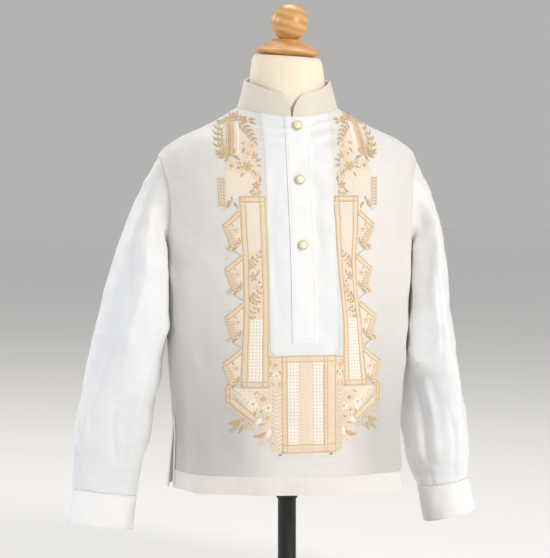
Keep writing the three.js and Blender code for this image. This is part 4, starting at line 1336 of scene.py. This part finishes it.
leaf("russet", -74, 519, 20, 7.0, 2.8)
flower("gold", -61, 522, 6.8, 6, "russet")
leaf("gold", -66, 516, 228, 9.0, 3.6)
leaf("olive", -56, 518, 300, 8.0, 3.0)
flower("champagne", -51.5, 512, 6.0, 5, "gold", 10)
patch("lace", [(-57, 490), (-46, 490), (-47.5, 512), (-58, 516)], 6, 10, 0.22)
leaf("olive", -47.5, 511, 262, 9.0, 3.2)
flower("russet", -52, 500, 5.2, 5, "gold")
leaf("gold", -49, 495, 262, 7.5, 3.2)
leaf("russet", -55, 496, 215, 8.5, 3.6)
leaf("gold", -50, 491.5, 188, 9.5, 3.6)
patch("net", [(-87, 478), (-73.5, 487), (-56, 514), (-88, 516)], 14, 14, 0.3, turned=True)
patch("net", [(-73.5, 487), (-56, 489), (-52, 505), (-57, 514)], 8, 8, 0.29, turned=True)
patch("rib", [(-87, 513), (-58, 513), (-60, 519), (-87, 519)], 10, 3, 0.4)
for shift in (0, 3.1, 6.2):
    ribbon("champagne", line_points([(-95.4 + shift, 509), (-94.6 + shift, 476)], 14), 2.0, 0.6)
for step in range(9):
    low = 507 - 3.8 * step
    ribbon("gold", curve_points([(-96, low - 1.2), (-92, low + 1.2), (-87.8, low - 1.2)], 6), 1.3, 0.75)
leaf("olive", -84, 484, 252, 11.5, 4.4)
leaf("olive", -79.5, 480, 300, 9.0, 3.6)
leaf("champagne", -88, 476, 240, 7.0, 3.4)
leaf("russet", -81, 488, 262, 7.0, 3.0)

# Pennants down the outer side of the frame
pennant_tops = [468, 417, 361.5, 307.5]
for top in pennant_tops:
    patch("net", [(-88, top - 33), (-73.0, top - 32), (-73.0, top - 3), (-88, top - 14)], 8, 12, 0.2)
    border([(-72.6, top + 0.5), (-82, top - 8), (-91.8, top - 16)], 5.2, 14)
    for step in range(7):
        low = top - 18.5 - 3.2 * step
        left = -92.8 + 1.15 * step
        bar = [(left, low + 1.4), (left + 4.2, low - 0.6), (left + 9.0, low + 1.5)]
        ribbon("champagne", curve_points(bar, 7), 2.2, 0.75)
        cord = [(left + 1, low - 0.6), (left + 5, low - 2.2), (left + 9, low - 0.4)]
        ribbon("gold", curve_points(cord, 7), 1.2, 0.6)
    flower("champagne", -88.0, top - 41, 4.4, 5, "gold")
    flower("champagne", -78.5, top - 20, 4.4, 5, "russet", 12)
    leaf("gold", -80, top - 16, 118, 6.0, 2.6)
    leaf("olive", -78.5, top - 31, 246, 14.5, 5.2)
    leaf("olive", -82.5, top - 35, 212, 8.5, 3.4)
    leaf("gold", -75.8, top - 28, 268, 10.0, 3.4)
    ribbon("gold", curve_points([(-84, top - 43), (-79, top - 46), (-73.6, top - 50)], 8), 1.2, 0.5)

# Foot of the frame: stripes, net, wing, rosette and petals
patch("net", [(-58, 231), (-46, 236), (-42.5, 264), (-84, 264)], 14, 14, 0.24)
for shift in (0, 3.6):
    ribbon("gold", line_points([(-88.6 + shift, 267), (-87.6 + shift, 247)], 12), 1.8, 0.7)
    ribbon("champagne", line_points([(-86.8 + shift, 267), (-85.8 + shift, 247)], 12), 1.8, 0.5)
border([(-88, 252), (-81, 248), (-69, 238), (-57, 228)], 7.4, 24)
for step in range(12):
    x = -86.5 + 2.6 * step
    z = 243.6 - 2.1 * step
    ribbon("champagne", line_points([(x - 1.8, z - 5.6), (x + 0.9, z)], 5), 1.6, 0.65)
ribbon("gold", line_points([(-89, 242), (-83, 240), (-70, 229), (-60, 220.5)], 18), 1.4, 0.6)
leaf("olive", -73, 228, 200, 14.5, 5.4)
leaf("olive", -74, 225, 224, 16.0, 5.6)
leaf("olive", -71, 222, 246, 11.5, 4.4)
leaf("slate", -79, 220, 232, 10.0, 3.6)
leaf("russet", -66, 229, 185, 9.0, 3.8)
leaf("gold", -67, 224, 262, 9.0, 3.6)
sprig("champagne", [(-66, 244), (-70, 251), (-76, 257)], 3, 6.0, 2.4)
flower("champagne", -49, 251.5, 9.6, 8, "gold", 12)
knot("gold", -49, 251.5, 2.6, 1.2)
flower("cream", -59.5, 246, 6.0, 6, "slate")
flower("champagne", -51, 237, 6.6, 6, "russet", 14)
flower("cream", -43, 241.5, 5.2, 5, "gold")
flower("champagne", -44.5, 229.5, 6.0, 6, "gold", 22)
leaf("gold", -53, 262, 214, 8.5, 3.4)
leaf("russet", -57, 238.5, 250, 8.0, 3.4)
leaf("cream", -52, 230, 236, 10.0, 5.0)
patch("lace", [(-50, 205), (-40, 200), (-41, 233), (-52, 228)], 8, 12, 0.22)
leaf("champagne", -44, 223, 222, 19.0, 7.0)
leaf("russet", -45, 214, 202, 16.0, 5.6)
leaf("champagne", -44.5, 211, 230, 16.0, 6.0)
leaf("cream", -42.5, 219, 254, 14.0, 5.6)
leaf("gold", -46, 224, 190, 9.0, 3.4)
leaf("champagne", -40.5, 208, 262, 10.0, 4.4)

# Lace between the frame, the foot of the bib and the block, and down both sides of the block
patch("lace", [(-43.0, 264), (-26.5, 264), (-26.5, 301), (-42.2, 301)], 8, 20, 0.2)
patch("lace", [(-37.5, 190), (-26.5, 190), (-26.5, 264), (-43.0, 264)], 8, 34, 0.2)
ribbon("gold", line_points([(-42.0, 304), (-41.0, 299.5), (-27, 300.5)], 14), 1.3, 0.6)
for step in range(15):
    z = 262 - 4.8 * step
    ribbon("champagne", curve_points([(-38.6, z), (-33.2, z - 3.0), (-28.2, z)], 7), 1.9, 0.6)
    ribbon("cream", curve_points([(-37.4, z - 2.4), (-33.0, z - 5.0), (-28.8, z - 2.4)], 7), 1.1, 0.5)
    knot("cream", -39.2 + 0.06 * step, z - 2, 1.1)
flower("champagne", -35, 291, 6.2, 6, "russet")
flower("cream", -33.5, 279, 5.6, 5, "gold", 20)
flower("champagne", -37.5, 269, 4.8, 5, "gold", 35)
leaf("gold", -40.5, 298, 262, 9.0, 3.4)
leaf("champagne", -29.5, 297, 262, 8.0, 3.2)
leaf("gold", -39.5, 284, 250, 7.5, 3.0)
leaf("russet", -30, 285, 262, 7.0, 2.8)
leaf("gold", -30, 272, 262, 7.0, 2.8)

# Middle block under the bib: one solid bar between two openwork bars, in a border that is wider at one side
block_foot, bars_foot, bars_top, block_top = 188.8, 197, 296, 301.6
for thread, left, right, height in (
    ("rib", -7.4, 9.2, 0.46), ("open", -20.6, -7.6, 0.3), ("open", 9.4, 21.9, 0.3),
):
    patch(thread, rectangle(left, right, bars_foot, bars_top), 8, 40, height, mirror=False)
border([(-23.9, block_top), (-24.4, block_foot)], 6.4, 40, mirror=False)
ribbon("champagne", line_points([(30.2, block_top), (29.8, block_foot)], 40), 15.0, 0.3, mirror=False)
for x in (23.3, 27.2, 36.8):
    ribbon("gold", line_points([(x + 0.2, block_top), (x - 0.2, block_foot)], 40), 1.3, 0.5, mirror=False)
ribbon("champagne", line_points([(-27.2, 297.8), (37.8, 297.8)], 24), 7.2, 0.42, mirror=False)
ribbon("champagne", line_points([(-27.4, 193.4), (37.4, 193.4)], 24), 9.6, 0.42, mirror=False)
for z in (301.2, 294.8, 197.8, 188.9):
    ribbon("gold", line_points([(-27.0, z), (37.4, z)], 24), 1.2, 0.6, mirror=False)
for x in (-29.5, 31):
    path = curve_points([(x - 1.6, 185.6), (x, 187.2), (x + 1.6, 185.6)], 5)
    ribbon("olive", path, 2.2, 0.8, mirror=False)

# The embroidery laid onto the front, along its normals
front_mesh = shirt_front.data
front_faces = [tuple(face.vertices) for face in front_mesh.polygons]
tree = BVHTree.FromPolygons([vertex.co for vertex in front_mesh.vertices], front_faces)
lay_step = 2.0
lay_x = np.arange(-118, 118.1, lay_step)
lay_z = np.arange(160, 586.1, lay_step)
lay_y = np.full((len(lay_z), len(lay_x)), np.nan)
before_all_y, front_half_y = -0.4, -0.005
for row, z in enumerate(lay_z):
    for column, x in enumerate(lay_x):
        hit = tree.ray_cast(Vector((x * MM, before_all_y, z * MM)), Vector((0, 1, 0)))[0]
        if hit is not None and hit.y < front_half_y:
            lay_y[row, column] = hit.y / MM
for column in range(len(lay_x)):
    known = ~np.isnan(lay_y[:, column])
    lay_y[:, column] = np.interp(lay_z, lay_z[known], lay_y[known, column])
slope_z, slope_x = np.gradient(lay_y, lay_step, lay_step)


def on_front(values, x, z):
    """Values on the laying grid, read between its points."""
    column = np.clip((x - lay_x[0]) / lay_step, 0, len(lay_x) - 1.001)
    row = np.clip((z - lay_z[0]) / lay_step, 0, len(lay_z) - 1.001)
    c, r = column.astype(int), row.astype(int)
    s, t = column - c, row - r
    return ((1 - t) * ((1 - s) * values[r, c] + s * values[r, c + 1])
            + t * ((1 - s) * values[r + 1, c] + s * values[r + 1, c + 1]))


def laid(points):
    """Points x, z and height as places in space, over the front."""
    x, z, height = points[..., 0], points[..., 1], points[..., 2]
    normal = unit(np.stack([on_front(slope_x, x, z), -np.ones_like(x), on_front(slope_z, x, z)], axis=-1))
    base = np.stack([x, on_front(lay_y, x, z), z], axis=-1)
    return base + normal * (height + 0.06)[..., None]


def embroidery_piece(name, strokes, finish):
    """All strokes of one thread, joined into one mesh whose faces point out."""
    points, faces, uvs, first = [], [], [], 0
    for grid, uv in strokes:
        rows, columns = grid.shape[:2]
        place = laid(grid)
        corners = grid_corners(rows, columns - 1)
        a, b, c = (place[corners[k]] for k in (0, 1, 2))
        if np.cross(b - a, c - a)[:, 1].sum() > 0:
            corners = corners[::-1]
        faces.append(np.stack([first + p * columns + q for p, q in corners], axis=-1))
        uvs.append(np.stack([uv[p, q] for p, q in corners], axis=1))
        points.append(place.reshape(-1, 3))
        first += rows * columns
    faces = np.concatenate(faces).tolist()
    return finish_piece(link(name, np.concatenate(points), faces, np.concatenate(uvs), finish))


threads = {
    "gold": gold_thread, "champagne": champagne_thread, "olive": olive_thread, "russet": russet_thread,
    "slate": slate_thread, "cream": cream_thread, "net": net_work, "open": open_work, "lace": lace_work,
    "rib": rib_work,
}
embroidery = [
    embroidery_piece(f"embroidery_{name}", strokes, threads[name]) for name, strokes in work.items()
]

stitches = finish_piece(link("seam_stitches", stitch_points, stitch_faces, stitch_uvs, sewing_thread))


# The dress form and its fittings
# Seams of the form's cover: their bearings and width in degrees, and their depth in hundredths of the radius
form_seams = (90, 270, 40, 140, 222, 318)
form_seam_width, form_seam_depth = 1.6, 0.35


def form_grid():
    """The covered form, with a shallow groove at each seam of its cover."""
    angle = (2 * math.pi * np.arange(round_columns) / round_columns)[None, :]
    place = np.linspace(0, len(form_sections["side_z"]) - 1, 121)[:, None]
    angle, place = angle * np.ones_like(place), place * np.ones_like(angle)
    point = ring_point(form_sections, angle, place)
    inset = np.zeros_like(angle)
    for seam in form_seams:
        inset += form_seam_depth * bell(angle_between(np.degrees(angle), seam) / form_seam_width)
    return point * np.stack([1 - inset / 100, 1 - inset / 100, np.ones_like(inset)], axis=-1)


grid = form_grid()
rows, columns = grid.shape[:2]
corners = grid_corners(rows, columns)
corners = [*corners[1:], corners[0]]
faces = np.stack([a * columns + b % columns for a, b in corners], axis=-1).tolist()
uv = cloth_uv(grid, closed=True)
uvs = np.stack([uv[a, b] for a, b in corners], axis=1).reshape(-1, 2).tolist()
flat = grid.reshape(-1, 3)
top_ring = (rows - 1) * columns
for cap_face in (list(range(columns)), list(range(top_ring, top_ring + columns))[::-1]):
    faces.append(cap_face)
    uvs.extend([(flat[k][0] * MM, flat[k][1] * MM) for k in cap_face])
form_cover = link("form_cover", flat, faces, uvs, jersey)
make_active(form_cover)
bpy.ops.object.mode_set(mode="EDIT")
bpy.ops.mesh.select_all(action="SELECT")
bpy.ops.mesh.normals_make_consistent(inside=False)
bpy.ops.object.mode_set(mode="OBJECT")
bpy.ops.object.shade_smooth_by_angle(angle=math.radians(50))
finish_piece(form_cover, ["form_body"])


def turned_piece(name, profile, segments, finish, bevel=0.4):
    """A piece turned about the vertical axis: a disc drawn up from ring to ring of radius and height."""
    bpy.ops.object.select_all(action="DESELECT")
    radius, low = profile[0]
    bpy.ops.mesh.primitive_circle_add(vertices=segments, radius=radius * MM, fill_type="NGON",
                                      location=(0, 0, low * MM))
    made = bpy.context.active_object
    made.name = made.data.name = name
    bpy.ops.object.transform_apply(location=True, rotation=True, scale=True)
    bpy.ops.object.mode_set(mode="EDIT")
    bpy.ops.mesh.select_all(action="SELECT")
    for new_radius, high in profile[1:]:
        bpy.ops.mesh.extrude_region_move(TRANSFORM_OT_translate={"value": (0, 0, (high - low) * MM)})
        share = new_radius / radius
        bpy.ops.transform.resize(value=(share, share, 1), center_override=(0, 0, high * MM))
        radius, low = new_radius, high
    bpy.ops.mesh.select_all(action="SELECT")
    bpy.ops.mesh.remove_doubles(threshold=0.00001)
    bpy.ops.mesh.normals_make_consistent(inside=False)
    bpy.ops.object.mode_set(mode="OBJECT")
    if bevel:
        round_edges(made, bevel, 35)
    made.data.materials.append(finish)
    make_active(made)
    bpy.ops.object.shade_smooth_by_angle(angle=math.radians(32))
    return made


def arc(centre_r, centre_z, radius, start, end, count):
    """Part of a round profile, as pairs of radius and height."""
    turn = np.radians(np.linspace(start, end, count))
    return [(centre_r + radius * math.cos(a), centre_z + radius * math.sin(a)) for a in turn]


# The wooden cap and ball stand square on the neck's top, which leans by its tip
neck_top = Vector((0, 0, form_sections["side_z"][-1] * MM))
lean = Matrix.Rotation(math.radians(form_sections["tip"][-1]), 4, "Y")
tipped = Matrix.Translation(neck_top) @ lean @ Matrix.Translation(-neck_top)
cap_seat_z, ball_middle_z, ball_radius = 651.4, 691.8, 22.4
cap_profile = [(r, z + cap_seat_z) for r, z in [
    (28, 0), (30.8, 0.6), (33.6, 1.5), (35.8, 2.4), (37.8, 3.5), (39.2, 4.35), (40.1, 5),
    *arc(39.8, 5.75, 0.75, -50, 60, 6), (39.0, 7.1), (37.4, 8.05), (33, 10.75), (28.4, 13.6), (24.6, 15.9),
    (21, 18), (19.9, 18.8), (19.3, 19.5), (18.3, 20),
]]
neck_disc = turned_piece("turned_cap", cap_profile, round_columns, beech, 0.25)
ball_profile = arc(0, ball_middle_z, ball_radius, -63.2, 84, 32) + [(0.4, 714.2)]
ball = turned_piece("turned_ball", ball_profile, round_columns, beech, 0)
for made, node in ((neck_disc, "neck_cap"), (ball, "finial_ball")):
    made.data.transform(tipped)
    finish_piece(made, [node])

pole_radius, ferrule_radius, pole_top = 11, 12.6, 167.5
pole_profile = [
    (pole_radius, 26.5), (pole_radius, 34), (ferrule_radius, 34.6), (ferrule_radius, 40), (pole_radius, 40.6),
    (pole_radius, 120), (ferrule_radius, 120.6), (ferrule_radius, 134), (pole_radius, 134.6),
    (pole_radius, pole_top - 14), (16, pole_top - 6),
    (31.2, pole_top - 6), (32, pole_top - 5), (32, pole_top),
]
pole = turned_piece("steel_pole", pole_profile, 64, black_steel, 0.4)
finish_piece(pole, ["stand_pole"])
base_profile = [
    (130, 0), *arc(129.4, 3, 2.6, -40, 0, 4), *arc(128.2, 6.4, 3.8, 5, 84, 7), (70, 12), (34, 13.4), (29, 14),
    *[(23 + 5.5 * (1 - math.sin(a)), 14 + 4.5 * (1 - math.cos(a))) for a in (0.4, 0.8, 1.2, 1.57)], (23, 24),
    (21.6, 25.6), (20, 26),
]
base = turned_piece("steel_base", base_profile, 128, black_steel, 0.3)
finish_piece(base, ["stand_base"])

# Buttons: a domed pearl in a gilt claw rim, modelled once and copied
rim = turned_piece("button_rim", [
    (1.8, 0), (1.8, 0.7), (4.8, 0.8), (5.5, 1.2), (5.8, 1.7), (5.7, 2.2), (5.3, 2.5), (4.9, 2.4), (4.5, 2.1),
    (3.6, 2.1),
], 40, gilt_brass, 0.12)
dome_profile = [(4.5, 2.0), (4.5, 2.6), *arc(0, 2.5, 4.45, 8, 84, 10)]
dome = turned_piece("button_pearl", dome_profile, 40, pearl_shell, 0)
claw_count = 10
claws = []
for k in range(claw_count):
    turn = 2 * math.pi * k / claw_count
    bpy.ops.object.select_all(action="DESELECT")
    bpy.ops.mesh.primitive_uv_sphere_add(segments=12, ring_count=8, radius=0.95 * MM)
    claw = bpy.context.active_object
    bpy.ops.object.mode_set(mode="EDIT")
    bpy.ops.mesh.select_all(action="SELECT")
    bpy.ops.transform.resize(value=(1.25, 0.8, 0.9), center_override=(0, 0, 0))
    bpy.ops.object.mode_set(mode="OBJECT")
    claw.data.transform(Matrix.Rotation(turn, 4, "Z") @ Matrix.Translation((4.75 * MM, 0, 2.85 * MM)))
    claw.data.materials.append(gilt_brass)
    claw.data.shade_smooth()
    claws.append(claw)
bpy.ops.object.select_all(action="DESELECT")
for made in [*claws, rim]:
    made.select_set(True)
bpy.context.view_layer.objects.active = rim
bpy.ops.object.join()
button_heights = [569, 506, 430]
placket_top = 1.75
for number, height in enumerate(button_heights, 1):
    place = np.array([front_place_at(height)])
    seat = front_point(np.array([0.0]), place, placket_top)[0]
    facing = Vector(seat - front_point(np.array([0.0]), place, 0.0)[0]).normalized()
    turn = Vector((0, 0, 1)).rotation_difference(facing).to_matrix().to_4x4()
    moved = Matrix.Translation(Vector(seat) * MM) @ turn @ Matrix.Rotation(0.3 * number, 4, "Z")
    for part, label in ((rim, "rim"), (dome, "pearl")):
        copy = part.copy()
        copy.data = part.data.copy()
        copy.name = copy.data.name = f"button_{number}_{label}"
        bpy.context.scene.collection.objects.link(copy)
        copy.data.transform(moved)
        finish_piece(copy, [f"button_{number}"] if label == "rim" else ())
for made in (rim, dome):
    bpy.data.objects.remove(made)

# Floor: pale, and paler with distance, so that no horizon shows
bpy.ops.object.select_all(action="DESELECT")
bpy.ops.mesh.primitive_circle_add(vertices=96, radius=9, fill_type="NGON", location=(0, 0, -0.0005))
floor = bpy.context.active_object
floor.name = "floor"
floor_paint = material("pale_floor")
floor_place = add(floor_paint, "ShaderNodeTexCoord").outputs["Object"]
floor_tone = noise(floor_paint, floor_place, 3.0, 2.0)
floor_mix = blend(floor_paint, floor_tone, "#efeeec", "#f4f3f1")
floor_away = add(floor_paint, "ShaderNodeVectorMath", {0: floor_place}, operation="LENGTH")
floor_share = span(floor_paint, floor_away.outputs["Value"], 2, 8.5)
floor_colour = blend(floor_paint, floor_share, floor_mix, "#fdfcfb")
surface(floor_paint, {"Base Color": floor_colour, "Roughness": 0.8})
floor.data.materials.append(floor_paint)

bpy.context.view_layer.update()
